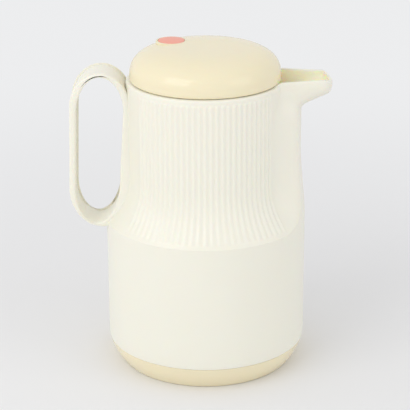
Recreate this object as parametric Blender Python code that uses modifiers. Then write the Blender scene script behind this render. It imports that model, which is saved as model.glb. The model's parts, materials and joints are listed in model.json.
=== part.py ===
"""Insulated jug with a silvered glass flask, a moulded shell and a screw closure.

The jug stands on the ground plane, its spout points to +X and its handle to -X.
Lengths are metres. Radii and heights are measured from the jug's own axis and the ground.
The origin is under the middle of the whole jug, handle and spout included.
"""

import math

import bmesh
import bpy

# Overall sizes
BODY_RADIUS = 0.0700
RECESS_SHARE = 0.2143
RIM_HEIGHT = 0.2060
SHELL_WALL = 0.0027
SEAT_GAP = 0.0003
OVERRUN = 0.0100

# Base cap
BASE_HEIGHT = 0.0170
BASE_SEAM_INSET = 0.0004
BASE_FOOT_INSET = 0.0090
BASE_BULGE = 0.0011
BASE_FOOT_EDGE = 0.0008
BASE_FOOT_WIDTH = 0.0075
BASE_HOLLOW_DEPTH = 0.0015
BASE_FLOOR = 0.0026
BASE_WALL = 0.0028
BASE_SPIGOT_HEIGHT = 0.0120
BASE_SPIGOT_WALL = 0.0024

# Drum and drawn-in upper body of the shell
DRUM_CORNER_HEIGHT = 0.0060
LEDGE_HEIGHT = 0.1060
FLARE_HEIGHT = 0.0380
FLARE_POWER = 2.2
COLLAR_EDGE = 0.0014
COLLAR_INSET = 0.0010

# Reeded fields, one in front and one behind
RIB_COUNT = 26
RIB_PITCH = math.radians(4.1)
RIB_HEIGHT = 0.0008
RIB_FOOT_MARGIN = 0.0018
RIB_HEAD_MARGIN = 0.0030
RIB_RUN_OUT = 0.0012
RIB_COLUMNS = 2

# Fin that carries the spout
FIN_DRAFT = 0.0035
FIN_DRAFT_HEIGHT = 0.0520
FIN_HALF_ANGLE = math.radians(17)
FIN_TOP_HALF_ANGLE = math.radians(14.5)
FIN_NARROWING = 0.0240
FIN_SETBACK = 0.0045
FLANK_MARGIN = math.radians(0.4)
FLANK_TOP_ANGLE = math.radians(9.2)
FLANK_POWER = 2.1
FLANK_FADE_START = 0.0240
FLANK_FADE_HEIGHT = 0.0600
POCKET_WIDTH = 0.0300
POCKET_HEIGHT = 0.0170

# Spout
SPOUT_OVERHANG = 0.0175
SPOUT_HALF_WIDTH = 0.0147
SPOUT_ROOT_SPREAD = 0.0060
SPOUT_ROOT_RUN = 0.0300
SPOUT_ROOT_POWER = 1.3
SPOUT_RIM_RISE = 0.0019
SPOUT_NOSE = 0.0075
SPOUT_NOSE_POWER = 2.2
SPOUT_TIP_DIP = 0.0030
SPOUT_TIP_DEPTH = 0.0104
SPOUT_SLOPE = 0.45
SPOUT_FILLET_DROP = 0.0060
SPOUT_FILLET_RUN = 0.0012
SPOUT_WALL = 0.0026
SPOUT_SECTION_POWER = 2.6
CHANNEL_ROOT_DEPTH = 0.0190
CHANNEL_FLOOR_POWER = 1.6

# Handle ring: its outer outline, then its opening
HANDLE_OVERHANG = 0.0250
HANDLE_LEAN = 0.0016
HANDLE_RISE = 0.0075
HANDLE_FOOT_DROP = 0.0037
HANDLE_SIDE_SHARES = (0.249, 0.780)
HANDLE_PEAK_SHARE = 0.425
HANDLE_HEAD_SINK = 0.0035
HANDLE_BURIED_DEPTH = 0.0100
HANDLE_WIDTH = 0.0300
HANDLE_EDGE = 0.0013
HANDLE_STRAP = 0.0045
HANDLE_STRAP_TOP = 0.0029
OPENING_SIDE_SHARES = (0.240, 0.726)
OPENING_SHELL_SHARES = (0.330, 0.762)
OPENING_PEAK_SHARE = 0.4375
OPENING_FOOT_SHARE = 0.5375
OPENING_HEAD_GAP = 0.0014
OPENING_SHELL_LEAN = 0.0030

# Neck of the shell, where the closure sits
RIM_THICKNESS = 0.0055
WELL_DEPTH = 0.0260
LID_POCKET_GAP = 0.0007
SHELF_WIDTH = 0.0130
SHELF_THICKNESS = 0.0030

# Threaded neck insert
INSERT_SEAL_GAP = 0.0030
INSERT_WALL = 0.0022
INSERT_DECK = 0.0026
INSERT_LIP_WIDTH = 0.0040
INSERT_LIP_THICKNESS = 0.0016

# Glass flask
FLASK_CLEARANCE = 0.0073
FLASK_MOUTH_STEP = 0.0068
FLASK_LIP_DROP = 0.0090
FLASK_NECK_LENGTH = 0.0100
FLASK_LIP_WIDTH = 0.0050
FLASK_BOTTOM_HEIGHT = 0.0180
FLASK_DOME_HEIGHT = 0.0260
FLASK_SHOULDER_DROP = 0.0180
FLASK_SHOULDER_POWER = 1.2
GLASS_WALL = 0.0018
VACUUM_GAP = 0.0054
FLASK_TIP_LENGTH = 0.0060
FLASK_TIP_RADIUS = 0.0030
FLASK_TIP_BORE_RADIUS = 0.0010

# Pads, foam and gaskets round the flask
SPACER_RADIUS = 0.0045
SPACER_HEIGHT = 0.0560
SPACER_COUNT = 3
BAND_START = 0.0600
BAND_HEIGHT = 0.0200
SHOULDER_FOAM_SHARES = (0.685, 0.877)
GASKET_THICKNESS = 0.0020
GASKET_LAP = 0.0007
CUSHION_WIDTH = 0.0240
CUSHION_INSET = 0.0240

# Closure
LID_INSET = 0.0026
LID_EDGE_INSET = 0.0007
LID_EDGE_HEIGHT = 0.0014
LID_DOME_HEIGHT = 0.0212
LID_WIDTH_POWER = 3.85
LID_HEIGHT_POWER = 2.7
LID_WALL = 0.0024
LID_SEAT_GAP = 0.0004
DISC_RADIUS = 0.0092
DISC_THICKNESS = 0.0016
DISC_PROUD = 0.0003
DISC_EDGE_INSET = 0.0246
DISC_AZIMUTH = math.radians(147.5)
BOSS_RIM = 0.0013
BOSS_PROUD = 0.0001
STOPPER_THREAD_GAP = 0.0027
STOPPER_WALL = 0.0021
STOPPER_FLANGE = 0.0022
SKIRT_GAP = 0.0008
SKIRT_WALL = 0.0020
SKIRT_DEPTH = 0.0080
DRIP_SEAL_HEIGHT = 0.0022
DRIP_SEAL_OFFSET = 0.0020
DRIP_SEAL_SINK = 0.0008
CAP_THICKNESS = 0.0027
LID_FOAM_TRIM = 0.0020

# Swivelling seal under the closure
SEAL_RING_THICKNESS = 0.0017
SEAL_RING_LAP = 0.0017
SEAL_HUB_INSET = 0.0045
SEAL_PLATE_INSET = 0.0015
SEAL_PLATE_THICKNESS = 0.0025
PIN_RADIUS = 0.0030
PIN_RUNNING_GAP = 0.0004
PIN_HEAD_RADIUS = 0.0055
PIN_HEAD_THICKNESS = 0.0018

# How finely round shapes are cut
FINE_STEPS = 48
PLAIN_STEPS = 24
FLASK_ROWS = 4
CAVITY_ROWS = 4
CYLINDER_STEPS = 32
SPACER_STEPS = 8
BEAK_STEPS = 10
BACK_COLUMNS = 8
MERGE_DISTANCE = 0.00001
ROUND_ARM = 0.5523
FLARE_SHARES = (0.1, 0.2, 0.32, 0.48, 0.7, 1.0)
FIN_SHARES = (-1, -0.6, -0.2, 0.2, 0.6, 1)
FLANK_SHARES = (0.12, 0.3, 0.5, 0.75, 1.0)
SPOUT_STATION_SHARES = (0.0, 0.09, 0.18, 0.29, 0.45, 0.49, 0.54, 0.62, 0.74, 0.82, 0.89, 0.95, 0.985, 1.0)
CHANNEL_STATION_SHARES = (0.0, 0.1, 0.2, 0.32, 0.46, 0.6, 0.72, 0.8, 0.88, 0.94, 0.98, 1.0)

# Sizes that follow from the ones above
SPOUT_REACH = BODY_RADIUS + SPOUT_OVERHANG
HANDLE_REACH = BODY_RADIUS + HANDLE_OVERHANG
AXIS_X = (HANDLE_REACH - SPOUT_REACH) / 2
SEAM_RADIUS = BODY_RADIUS - BASE_SEAM_INSET
BASE_FOOT_RADIUS = BODY_RADIUS - BASE_FOOT_INSET
CAVITY_RADIUS = BODY_RADIUS - SHELL_WALL
RECESS_DEPTH = BODY_RADIUS * RECESS_SHARE
NECK_RADIUS = BODY_RADIUS - RECESS_DEPTH
NECK_CAVITY_RADIUS = NECK_RADIUS - SHELL_WALL
RIB_FIELD = RIB_PITCH * RIB_COUNT / 2
FLANK_ANGLE = math.pi / 2 - RIB_FIELD - FIN_HALF_ANGLE - FLANK_MARGIN
FIN_TOP_RADIUS = BODY_RADIUS - FIN_DRAFT
SPOUT_RIM_HEIGHT = RIM_HEIGHT + SPOUT_RIM_RISE
HANDLE_TOP = RIM_HEIGHT + HANDLE_RISE
HANDLE_BOTTOM = LEDGE_HEIGHT - HANDLE_FOOT_DROP
HANDLE_HEAD_RUN = NECK_RADIUS - HANDLE_HEAD_SINK
HANDLE_BURIED_RUN = NECK_RADIUS - HANDLE_BURIED_DEPTH
OPENING_HEAD_RUN = NECK_RADIUS + OPENING_HEAD_GAP
WELL_RADIUS = NECK_RADIUS - RIM_THICKNESS
SPOUT_ROOT_HALF_WIDTH = SPOUT_HALF_WIDTH + SPOUT_ROOT_SPREAD
SHELF_HEIGHT = RIM_HEIGHT - WELL_DEPTH
SHELF_BORE_RADIUS = WELL_RADIUS - SHELF_WIDTH
INSERT_RADIUS = SHELF_BORE_RADIUS - INSERT_SEAL_GAP
INSERT_BORE_RADIUS = INSERT_RADIUS - INSERT_WALL
FLASK_RADIUS = CAVITY_RADIUS - FLASK_CLEARANCE
FLASK_MOUTH_RADIUS = INSERT_BORE_RADIUS - FLASK_MOUTH_STEP
FLASK_LIP_HEIGHT = SHELF_HEIGHT - FLASK_LIP_DROP
FLASK_SHOULDER_START = LEDGE_HEIGHT - FLASK_SHOULDER_DROP
FLASK_SHOULDER_TOP = FLASK_LIP_HEIGHT - FLASK_NECK_LENGTH
GASKET_INNER_RADIUS = FLASK_MOUTH_RADIUS - GASKET_LAP
CUSHION_OUTER_RADIUS = FLASK_RADIUS - CUSHION_INSET
CUSHION_INNER_RADIUS = CUSHION_OUTER_RADIUS - CUSHION_WIDTH
LID_RADIUS = NECK_RADIUS - LID_INSET
DISC_OFFSET = LID_RADIUS - DISC_EDGE_INSET
SKIRT_RADIUS = WELL_RADIUS - SKIRT_GAP
STOPPER_RADIUS = INSERT_BORE_RADIUS - STOPPER_THREAD_GAP
SEAL_RING_RADIUS = FLASK_MOUTH_RADIUS + SEAL_RING_LAP
SEAL_HUB_RADIUS = FLASK_MOUTH_RADIUS - SEAL_HUB_INSET
SEAL_PLATE_RADIUS = FLASK_MOUTH_RADIUS - SEAL_PLATE_INSET
DECK_BOTTOM = SHELF_HEIGHT + SEAT_GAP
DECK_TOP = DECK_BOTTOM + INSERT_DECK
GASKET_BOTTOM = FLASK_LIP_HEIGHT + SEAT_GAP
GASKET_TOP = GASKET_BOTTOM + GASKET_THICKNESS
INSERT_BOTTOM = GASKET_TOP + SEAT_GAP
SEAL_RING_BOTTOM = GASKET_TOP + SEAT_GAP
SEAL_RING_TOP = SEAL_RING_BOTTOM + SEAL_RING_THICKNESS
CAP_BOTTOM = SEAL_RING_TOP + SEAT_GAP
CAP_TOP = CAP_BOTTOM + CAP_THICKNESS
PIN_HEAD_BOTTOM = CAP_TOP + SEAT_GAP
PIN_HEAD_TOP = PIN_HEAD_BOTTOM + PIN_HEAD_THICKNESS
LID_BOTTOM = RIM_HEIGHT + LID_SEAT_GAP
LID_SHOULDER = LID_BOTTOM + LID_EDGE_HEIGHT
LID_TOP = LID_SHOULDER + LID_DOME_HEIGHT
LID_INNER_RADIUS = LID_RADIUS - LID_EDGE_INSET - LID_WALL
FLANGE_TOP = LID_BOTTOM + STOPPER_FLANGE
FLASK_TOP_RADIUS = FLASK_MOUTH_RADIUS + FLASK_LIP_WIDTH
FLASK_WAIST_HEIGHT = FLASK_BOTTOM_HEIGHT + FLASK_DOME_HEIGHT
BASE_FLOOR_TOP = BASE_HOLLOW_DEPTH + BASE_FLOOR


def smooth_step(share):
    """0 to 1 with level ends."""
    share = min(max(share, 0.0), 1.0)
    return share * share * (3 - 2 * share)


def curve_points(count, place):
    """Points of place(share) at even shares from 0 to 1."""
    return [place(i / (count - 1)) for i in range(count)]


def wrapped(angle):
    """The same angle between minus half a turn and half a turn."""
    return (angle + math.pi) % (2 * math.pi) - math.pi


# Materials


def plastic(name, colour, roughness, metallic=0.0, transmission=0.0):
    """A Principled BSDF material."""
    material = bpy.data.materials.new(name)
    material.use_nodes = True
    shader = material.node_tree.nodes["Principled BSDF"]
    shader.inputs["Base Color"].default_value = (*colour, 1.0)
    shader.inputs["Roughness"].default_value = roughness
    shader.inputs["Metallic"].default_value = metallic
    shader.inputs["Transmission Weight"].default_value = transmission
    material.diffuse_color = (*colour, 1.0)
    return material


def make_materials():
    return {
        "shell": plastic("shell_plastic", (0.87, 0.85, 0.74), 0.32),
        "cream": plastic("cream_plastic", (0.86, 0.76, 0.52), 0.30),
        "coral": plastic("coral_plastic", (0.90, 0.26, 0.15), 0.38),
        "glass": plastic("silvered_glass", (0.80, 0.80, 0.82), 0.06, metallic=1.0),
        "rubber": plastic("grey_rubber", (0.42, 0.42, 0.41), 0.70),
        "silicone": plastic("clear_silicone", (0.80, 0.78, 0.72), 0.45),
        "foam": plastic("white_foam", (0.88, 0.88, 0.86), 0.90),
    }


# Building blocks


class Workshop:
    """The collections, materials and axes that every piece uses."""

    def __init__(self):
        for old in list(bpy.data.objects):
            bpy.data.objects.remove(old, do_unlink=True)
        self.parts = bpy.data.collections.new("insulated_jug")
        self.cutters = bpy.data.collections.new("insulated_jug_cutters")
        for collection in (self.parts, self.cutters):
            bpy.context.scene.collection.children.link(collection)
        self.materials = make_materials()
        self.jug_axis = self.empty("jug_axis", (AXIS_X, 0, 0))
        self.seal_axis = self.empty("seal_axis", (AXIS_X, 0, 0))
        self.closure_axis = self.empty("closure_axis", (AXIS_X, 0, 0))

    def empty(self, name, place):
        axis = bpy.data.objects.new(name, None)
        axis.empty_display_size = BODY_RADIUS
        axis.location = place
        self.parts.objects.link(axis)
        return axis

    def piece(self, name, mesh, material, axis, place=(0, 0, 0), turn=(0, 0, 0)):
        """A finished piece on the axis that carries it."""
        piece = bpy.data.objects.new(name, mesh)
        piece.data.materials.append(self.materials[material])
        piece.parent = axis
        piece.location = place
        piece.rotation_euler = turn
        self.parts.objects.link(piece)
        return piece

    def helper(self, name, mesh, place=(0, 0, 0), turn=(0, 0, 0)):
        """A solid that cuts or joins another, on the jug's axis."""
        helper = bpy.data.objects.new(name, mesh)
        helper.parent = self.jug_axis
        helper.location = place
        helper.rotation_euler = turn
        helper.hide_render = True
        helper.display_type = "WIRE"
        self.cutters.objects.link(helper)
        return helper


def outline_area(outline):
    """Signed area of a closed outline, positive when it runs anticlockwise."""
    pairs = zip(outline, outline[1:] + outline[:1])
    return sum(a[0] * b[1] - b[0] * a[1] for a, b in pairs) / 2


def profile_mesh(name, outline, closed):
    """A turned piece's outline as edges that run down its outer side."""
    points = outline if outline_area(outline) < 0 else outline[::-1]
    edges = [(i, i + 1) for i in range(len(points) - 1)]
    if closed:
        edges.append((len(points) - 1, 0))
    mesh = bpy.data.meshes.new(name)
    mesh.from_pydata([(radius, 0, height) for radius, height in points], edges, [])
    return mesh


def spin(piece, steps):
    """Turns a piece's outline round the Z axis."""
    screw = piece.modifiers.new("turn", "SCREW")
    screw.axis = "Z"
    screw.steps = steps
    screw.render_steps = steps
    screw.use_merge_vertices = True
    screw.merge_threshold = MERGE_DISTANCE
    screw.use_smooth_shade = True
    return piece


def turned(shop, name, outline, material, axis, steps=PLAIN_STEPS):
    """A turned piece: an outline that starts and ends on the axis, or a closed ring."""
    closed = outline[0][0] > 0 or outline[-1][0] > 0
    mesh = profile_mesh(name, outline, closed)
    return spin(shop.piece(name, mesh, material, axis), steps)


def turned_helper(shop, name, outline, steps=PLAIN_STEPS):
    closed = outline[0][0] > 0 or outline[-1][0] > 0
    return spin(shop.helper(name, profile_mesh(name, outline, closed)), steps)


def boolean(piece, other, operation):
    """Cuts the other solid from the piece, or joins it on."""
    modifier = piece.modifiers.new(f"{operation.lower()} {other.name}", "BOOLEAN")
    modifier.operation = operation
    modifier.solver = "EXACT"
    modifier.object = other


def lofted_mesh(name, sections):
    """A closed solid through sections that have the same number of points in the same order."""
    build = bmesh.new()
    rows = [[build.verts.new(point) for point in section] for section in sections]
    count = len(rows[0])
    for near, far in zip(rows, rows[1:]):
        for i in range(count):
            build.faces.new((near[i], near[(i + 1) % count], far[(i + 1) % count], far[i]))
    build.faces.new(rows[0][::-1])
    build.faces.new(rows[-1])
    bmesh.ops.recalc_face_normals(build, faces=build.faces)
    mesh = bpy.data.meshes.new(name)
    build.to_mesh(mesh)
    build.free()
    return mesh


def ring_outline(inner, outer, bottom, top):
    return [(outer, top), (outer, bottom), (inner, bottom), (inner, top)]


def disc_outline(radius, bottom, top):
    return [(0, top), (radius, top), (radius, bottom), (0, bottom)]


# Shell


def fin_radius(height):
    """Outside of the fin: the drum's radius at the ledge, drawn in above it and again by the spout."""
    draft = FIN_DRAFT * smooth_step((height - LEDGE_HEIGHT) / FIN_DRAFT_HEIGHT)
    return BODY_RADIUS - draft - FIN_SETBACK * towards_spout(height)


def towards_spout(height):
    """0 below the stretch where the fin narrows into the spout, 1 at the rim."""
    return smooth_step((height - (RIM_HEIGHT - FIN_NARROWING)) / FIN_NARROWING)


def fin_half_angle(height):
    """Half the angle that the fin covers."""
    return FIN_HALF_ANGLE + (FIN_TOP_HALF_ANGLE - FIN_HALF_ANGLE) * towards_spout(height)


def flank_span(height):
    """Angle over which the skin falls from the fin to the upper body."""
    return FLANK_ANGLE + (FLANK_TOP_ANGLE - FLANK_ANGLE) * towards_spout(height)


def flank_share(across, height):
    """Fall across the flank: an edge at the fin low down, which fades to a round shoulder higher up."""
    edged = 1 - (1 - across) ** FLANK_POWER
    fade = smooth_step((height - LEDGE_HEIGHT - FLANK_FADE_START) / FLANK_FADE_HEIGHT)
    return edged + (smooth_step(across) - edged) * fade


def recess_share(azimuth, height):
    """How far the skin is drawn in at a place: 0 on the drum and the fin, 1 on the upper body."""
    off_fin = abs(wrapped(azimuth - math.pi / 2)) - fin_half_angle(height)
    into_corner = min(max(1 - off_fin * BODY_RADIUS / POCKET_WIDTH, 0.0), 1.0)
    ledge = LEDGE_HEIGHT + POCKET_HEIGHT * (1 - math.sqrt(1 - into_corner**2))
    across = min(max(off_fin / flank_span(height), 0.0), 1.0)
    up = min(max((height - ledge) / FLARE_HEIGHT, 0.0), 1.0)
    return flank_share(across, height) * (1 - (1 - up) ** FLARE_POWER)


def rib_share(azimuth, height):
    """Height of the reeding at a place, from 0 between two reeds to 1 on top of one."""
    off_front = wrapped(azimuth)
    off_back = wrapped(azimuth - math.pi)
    off = off_front if abs(off_front) < abs(off_back) else off_back
    if abs(off) > RIB_FIELD:
        return 0.0
    across = 2 * abs(off / RIB_PITCH - round(off / RIB_PITCH))
    wave = 1 - across
    rise = smooth_step((height - LEDGE_HEIGHT - RIB_FOOT_MARGIN) / RIB_RUN_OUT)
    fall = smooth_step((RIM_HEIGHT - RIB_HEAD_MARGIN - height) / RIB_RUN_OUT)
    return wave * rise * fall


def skin_radius(azimuth, height):
    """Outer radius of the shell. Azimuth 0 faces -Y and a quarter turn faces the spout."""
    outer = fin_radius(height)
    corner = 1 - min(max((height - BASE_HEIGHT) / DRUM_CORNER_HEIGHT, 0.0), 1.0)
    outer -= BASE_SEAM_INSET * corner**2
    below_rim = RIM_HEIGHT - height
    collar = COLLAR_INSET * max(0.0, 1 - below_rim / COLLAR_EDGE) ** 2
    depth = (outer - NECK_RADIUS) * recess_share(azimuth, height)
    return outer - depth - collar + RIB_HEIGHT * rib_share(azimuth, height)


def skin_columns():
    """The skin's columns in order: the azimuth as a function of height, and whether the drum uses it."""
    ribs = RIB_COUNT * RIB_COLUMNS
    columns = []

    def add(place, shared=True):
        columns.append((place, shared))

    for i in range(ribs + 1):
        add(lambda height, i=i: rib_angle(i), i % RIB_COLUMNS == 0)
    for share in [-share for share in reversed(FLANK_SHARES)]:
        add(lambda height, share=share: math.pi / 2 + flank_angle(share, height))
    for share in FIN_SHARES:
        add(lambda height, share=share: math.pi / 2 + share * fin_half_angle(height))
    for share in FLANK_SHARES:
        add(lambda height, share=share: math.pi / 2 + flank_angle(share, height))
    for i in range(ribs + 1):
        add(lambda height, i=i: math.pi + rib_angle(i), i % RIB_COLUMNS == 0)
    span = math.pi - 2 * RIB_FIELD
    for i in range(1, BACK_COLUMNS):
        add(lambda height, i=i: math.pi + RIB_FIELD + span * i / BACK_COLUMNS)
    return columns


def rib_angle(column):
    """Angle from the middle of a reeded field to one of its columns."""
    return RIB_PITCH * column / RIB_COLUMNS - RIB_FIELD


def flank_angle(share, height):
    """Angle from the middle of the fin to a column of its flank."""
    side = math.copysign(1, share)
    edge = fin_half_angle(height)
    return side * (edge + flank_span(height) * abs(share))


def skin_heights():
    """Heights of the rows above the drum."""
    flare = [share * FLARE_HEIGHT for share in FLARE_SHARES]
    foot = LEDGE_HEIGHT + RIB_FOOT_MARGIN
    head = RIM_HEIGHT - RIB_HEAD_MARGIN
    heights = [LEDGE_HEIGHT, foot, foot + RIB_RUN_OUT]
    heights += [LEDGE_HEIGHT + rise for rise in flare]
    heights += [RIM_HEIGHT - FIN_NARROWING, RIM_HEIGHT - FIN_NARROWING / 2]
    heights += [head - RIB_RUN_OUT, head, RIM_HEIGHT - COLLAR_EDGE, RIM_HEIGHT]
    return heights


def skin_mesh():
    """The shell's outside as one closed solid: a plain drum below, drawn in and reeded above."""
    columns = skin_columns()
    coarse = [i for i, (_, shared) in enumerate(columns) if shared]
    seam = BASE_HEIGHT + SEAT_GAP
    drum_heights = [seam, BASE_HEIGHT + DRUM_CORNER_HEIGHT]
    build = bmesh.new()

    def row(height, picked):
        verts = []
        for place_at, _ in picked:
            azimuth = place_at(height)
            radius = skin_radius(azimuth, height)
            place = (radius * math.sin(azimuth), -radius * math.cos(azimuth), height)
            verts.append(build.verts.new(place))
        return verts

    def wall(low, high):
        for i in range(len(low)):
            after = (i + 1) % len(low)
            build.faces.new((low[i], low[after], high[after], high[i]))

    drum = [row(height, [columns[i] for i in coarse]) for height in drum_heights]
    upper = [row(height, columns) for height in skin_heights()]
    for rows in (drum, upper):
        for low, high in zip(rows, rows[1:]):
            wall(low, high)
    for k, first in enumerate(coarse):
        after = coarse[(k + 1) % len(coarse)]
        last = after if after > first else after + len(columns)
        top = [upper[0][i % len(columns)] for i in range(first, last + 1)]
        left = drum[-1][k]
        right = drum[-1][(k + 1) % len(coarse)]
        middle = len(top) // 2
        build.faces.new((left, right, top[middle]))
        for i in range(len(top) - 1):
            build.faces.new((left if i < middle else right, top[i + 1], top[i]))
    build.faces.new(drum[0][::-1])
    build.faces.new(upper[-1])
    bmesh.ops.recalc_face_normals(build, faces=build.faces)
    mesh = bpy.data.meshes.new("outer_shell")
    build.to_mesh(mesh)
    build.free()
    return mesh


def cavity_radius(height):
    """Inside radius of the shell round the flask."""
    up = min(max((height - LEDGE_HEIGHT + SHELL_WALL) / FLARE_HEIGHT, 0.0), 1.0)
    return CAVITY_RADIUS - RECESS_DEPTH * (1 - (1 - up) ** FLARE_POWER)


def cavity_points():
    """The side of the flask's room where it narrows, as (radius, height) from the bottom up."""
    start = LEDGE_HEIGHT - SHELL_WALL
    heights = curve_points(CAVITY_ROWS, lambda share: start + share * FLARE_HEIGHT)
    return [(cavity_radius(height), height) for height in heights]


def cavity_side(height):
    """Radius of the flask's room at a height, straight between its rows."""
    points = cavity_points()
    for (low_radius, low), (high_radius, high) in zip(points, points[1:]):
        if low <= height <= high:
            return low_radius + (high_radius - low_radius) * (height - low) / (high - low)
    return points[0][0] if height < points[0][1] else points[-1][0]


def shell_hollow_outline():
    """Everything hollow in the shell but the spout's channel: flask room, shelf bore and well."""
    shelf_bottom = SHELF_HEIGHT - SHELF_THICKNESS
    pocket = LID_RADIUS + LID_POCKET_GAP
    return [
        (0, -OVERRUN),
        (CAVITY_RADIUS, -OVERRUN),
        *cavity_points(),
        (NECK_CAVITY_RADIUS, shelf_bottom),
        (SHELF_BORE_RADIUS, shelf_bottom),
        (SHELF_BORE_RADIUS, SHELF_HEIGHT),
        (WELL_RADIUS, SHELF_HEIGHT),
        (WELL_RADIUS, RIM_HEIGHT),
        (pocket, RIM_HEIGHT),
        (pocket, RIM_HEIGHT + OVERRUN),
        (0, RIM_HEIGHT + OVERRUN),
    ]


def spout_half_width(x):
    """Half the spout's outer width at the rim: wide at the root, rounded at the nose."""
    root = max(1 - (x - WELL_RADIUS) / SPOUT_ROOT_RUN, 0.0) ** SPOUT_ROOT_POWER
    width = SPOUT_HALF_WIDTH + (SPOUT_ROOT_HALF_WIDTH - SPOUT_HALF_WIDTH) * root
    into_nose = min(max((x - (SPOUT_REACH - SPOUT_NOSE)) / SPOUT_NOSE, 0.0), 1.0)
    return width * (1 - into_nose**SPOUT_NOSE_POWER) ** (1 / SPOUT_NOSE_POWER)


def spout_rim(x):
    """Height of the rim, which dips at the tip."""
    into_nose = (x - (SPOUT_REACH - SPOUT_NOSE)) / SPOUT_NOSE
    return SPOUT_RIM_HEIGHT - SPOUT_TIP_DIP * smooth_step(into_nose) ** 2


def spout_underside(x):
    """Height of the spout's lowest line, with a fillet where it leaves the fin."""
    straight = SPOUT_RIM_HEIGHT - SPOUT_TIP_DEPTH - SPOUT_SLOPE * (SPOUT_REACH - x)
    from_fin = max(x - FIN_TOP_RADIUS, 0.0)
    fillet = SPOUT_FILLET_DROP * math.exp(-from_fin / SPOUT_FILLET_RUN)
    into_tip = max(0.0, 1 - (SPOUT_REACH - x) / SPOUT_TIP_DIP)
    return straight - fillet + SPOUT_TIP_DIP * into_tip**2


def beak_section(x, half_width, top, bottom, lid):
    """A U-shaped section across the spout, closed by a flat lid above the rim."""
    section = []
    for i in range(BEAK_STEPS + 1):
        turn = math.pi * i / BEAK_STEPS
        side = math.copysign(abs(math.cos(turn)) ** (2 / SPOUT_SECTION_POWER), math.cos(turn))
        drop = math.sin(turn) ** (2 / SPOUT_SECTION_POWER)
        section.append((x, half_width * side, top - (top - bottom) * drop))
    if lid > 0:
        section = [(x, half_width, top + lid), *section, (x, -half_width, top + lid)]
    return section


def spout_mesh():
    """The spout's outside, lofted from inside the fin to the tip."""
    start = WELL_RADIUS
    sections = []
    for share in SPOUT_STATION_SHARES:
        x = start + (SPOUT_REACH - start) * share
        half = max(spout_half_width(x), SPOUT_WALL / 2)
        sections.append(beak_section(x, half, spout_rim(x), spout_underside(x), 0))
    return lofted_mesh("spout", sections)


def channel_floor(x):
    """Height of the floor of the pouring channel, rising from the well to the lip."""
    share = max((x - WELL_RADIUS) / (SPOUT_REACH - WELL_RADIUS), 0.0)
    root = RIM_HEIGHT - CHANNEL_ROOT_DEPTH
    lip = SPOUT_RIM_HEIGHT - SPOUT_TIP_DIP - SPOUT_WALL / 2
    return root + (lip - root) * share**CHANNEL_FLOOR_POWER


def channel_mesh():
    """The pouring channel, from inside the well out to just short of the tip."""
    start = WELL_RADIUS - SPOUT_WALL
    end = SPOUT_REACH - SPOUT_WALL
    sections = []
    for share in CHANNEL_STATION_SHARES:
        x = start + (end - start) * share
        nose = SPOUT_NOSE - SPOUT_WALL
        into = min(max((x - (end - nose)) / nose, 0.0), 1.0)
        round_off = (1 - into**SPOUT_NOSE_POWER) ** (1 / SPOUT_NOSE_POWER)
        straight = spout_half_width(min(x, SPOUT_REACH - SPOUT_NOSE)) - SPOUT_WALL
        half = max(straight * round_off, SPOUT_WALL / 2)
        sections.append(beak_section(x, half, spout_rim(x), channel_floor(x), OVERRUN))
    return lofted_mesh("channel", sections)


def ring_loop(curve, sides, peak, foot):
    """A tall closed loop: two sides that stand nearly upright, joined by a round head and a round foot.

    sides holds the left side's start and end, then the right side's end and start, as (x, z).
    peak and foot are the highest and lowest points.
    """
    left_low, left_high, right_high, right_low = sides
    nodes = [left_low, left_high, peak, right_high, right_low, foot]
    level = (peak, foot)
    spline = curve.splines.new("BEZIER")
    spline.bezier_points.add(len(nodes) - 1)
    spline.use_cyclic_u = True
    for i, (x, z) in enumerate(nodes):
        point = spline.bezier_points[i]
        point.handle_left_type = "FREE"
        point.handle_right_type = "FREE"
        point.co = (x, z, 0)
        arms = []
        for other in (nodes[i - 1], nodes[(i + 1) % len(nodes)]):
            run = other[0] - x
            rise = other[1] - z
            if (x, z) in level:
                arms.append((x + run * ROUND_ARM, z, 0))
            elif other in level:
                arms.append((x, z + rise * ROUND_ARM, 0))
            else:
                arms.append((x + run / 3, z + rise / 3, 0))
        point.handle_left, point.handle_right = arms


def handle_height(share):
    """A height on the handle, from its foot to its top."""
    return HANDLE_BOTTOM + (HANDLE_TOP - HANDLE_BOTTOM) * share


def handle_run(share):
    """A distance from the axis, from the upper body's skin to the handle's outside."""
    return NECK_RADIUS + (HANDLE_REACH - NECK_RADIUS) * share


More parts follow.
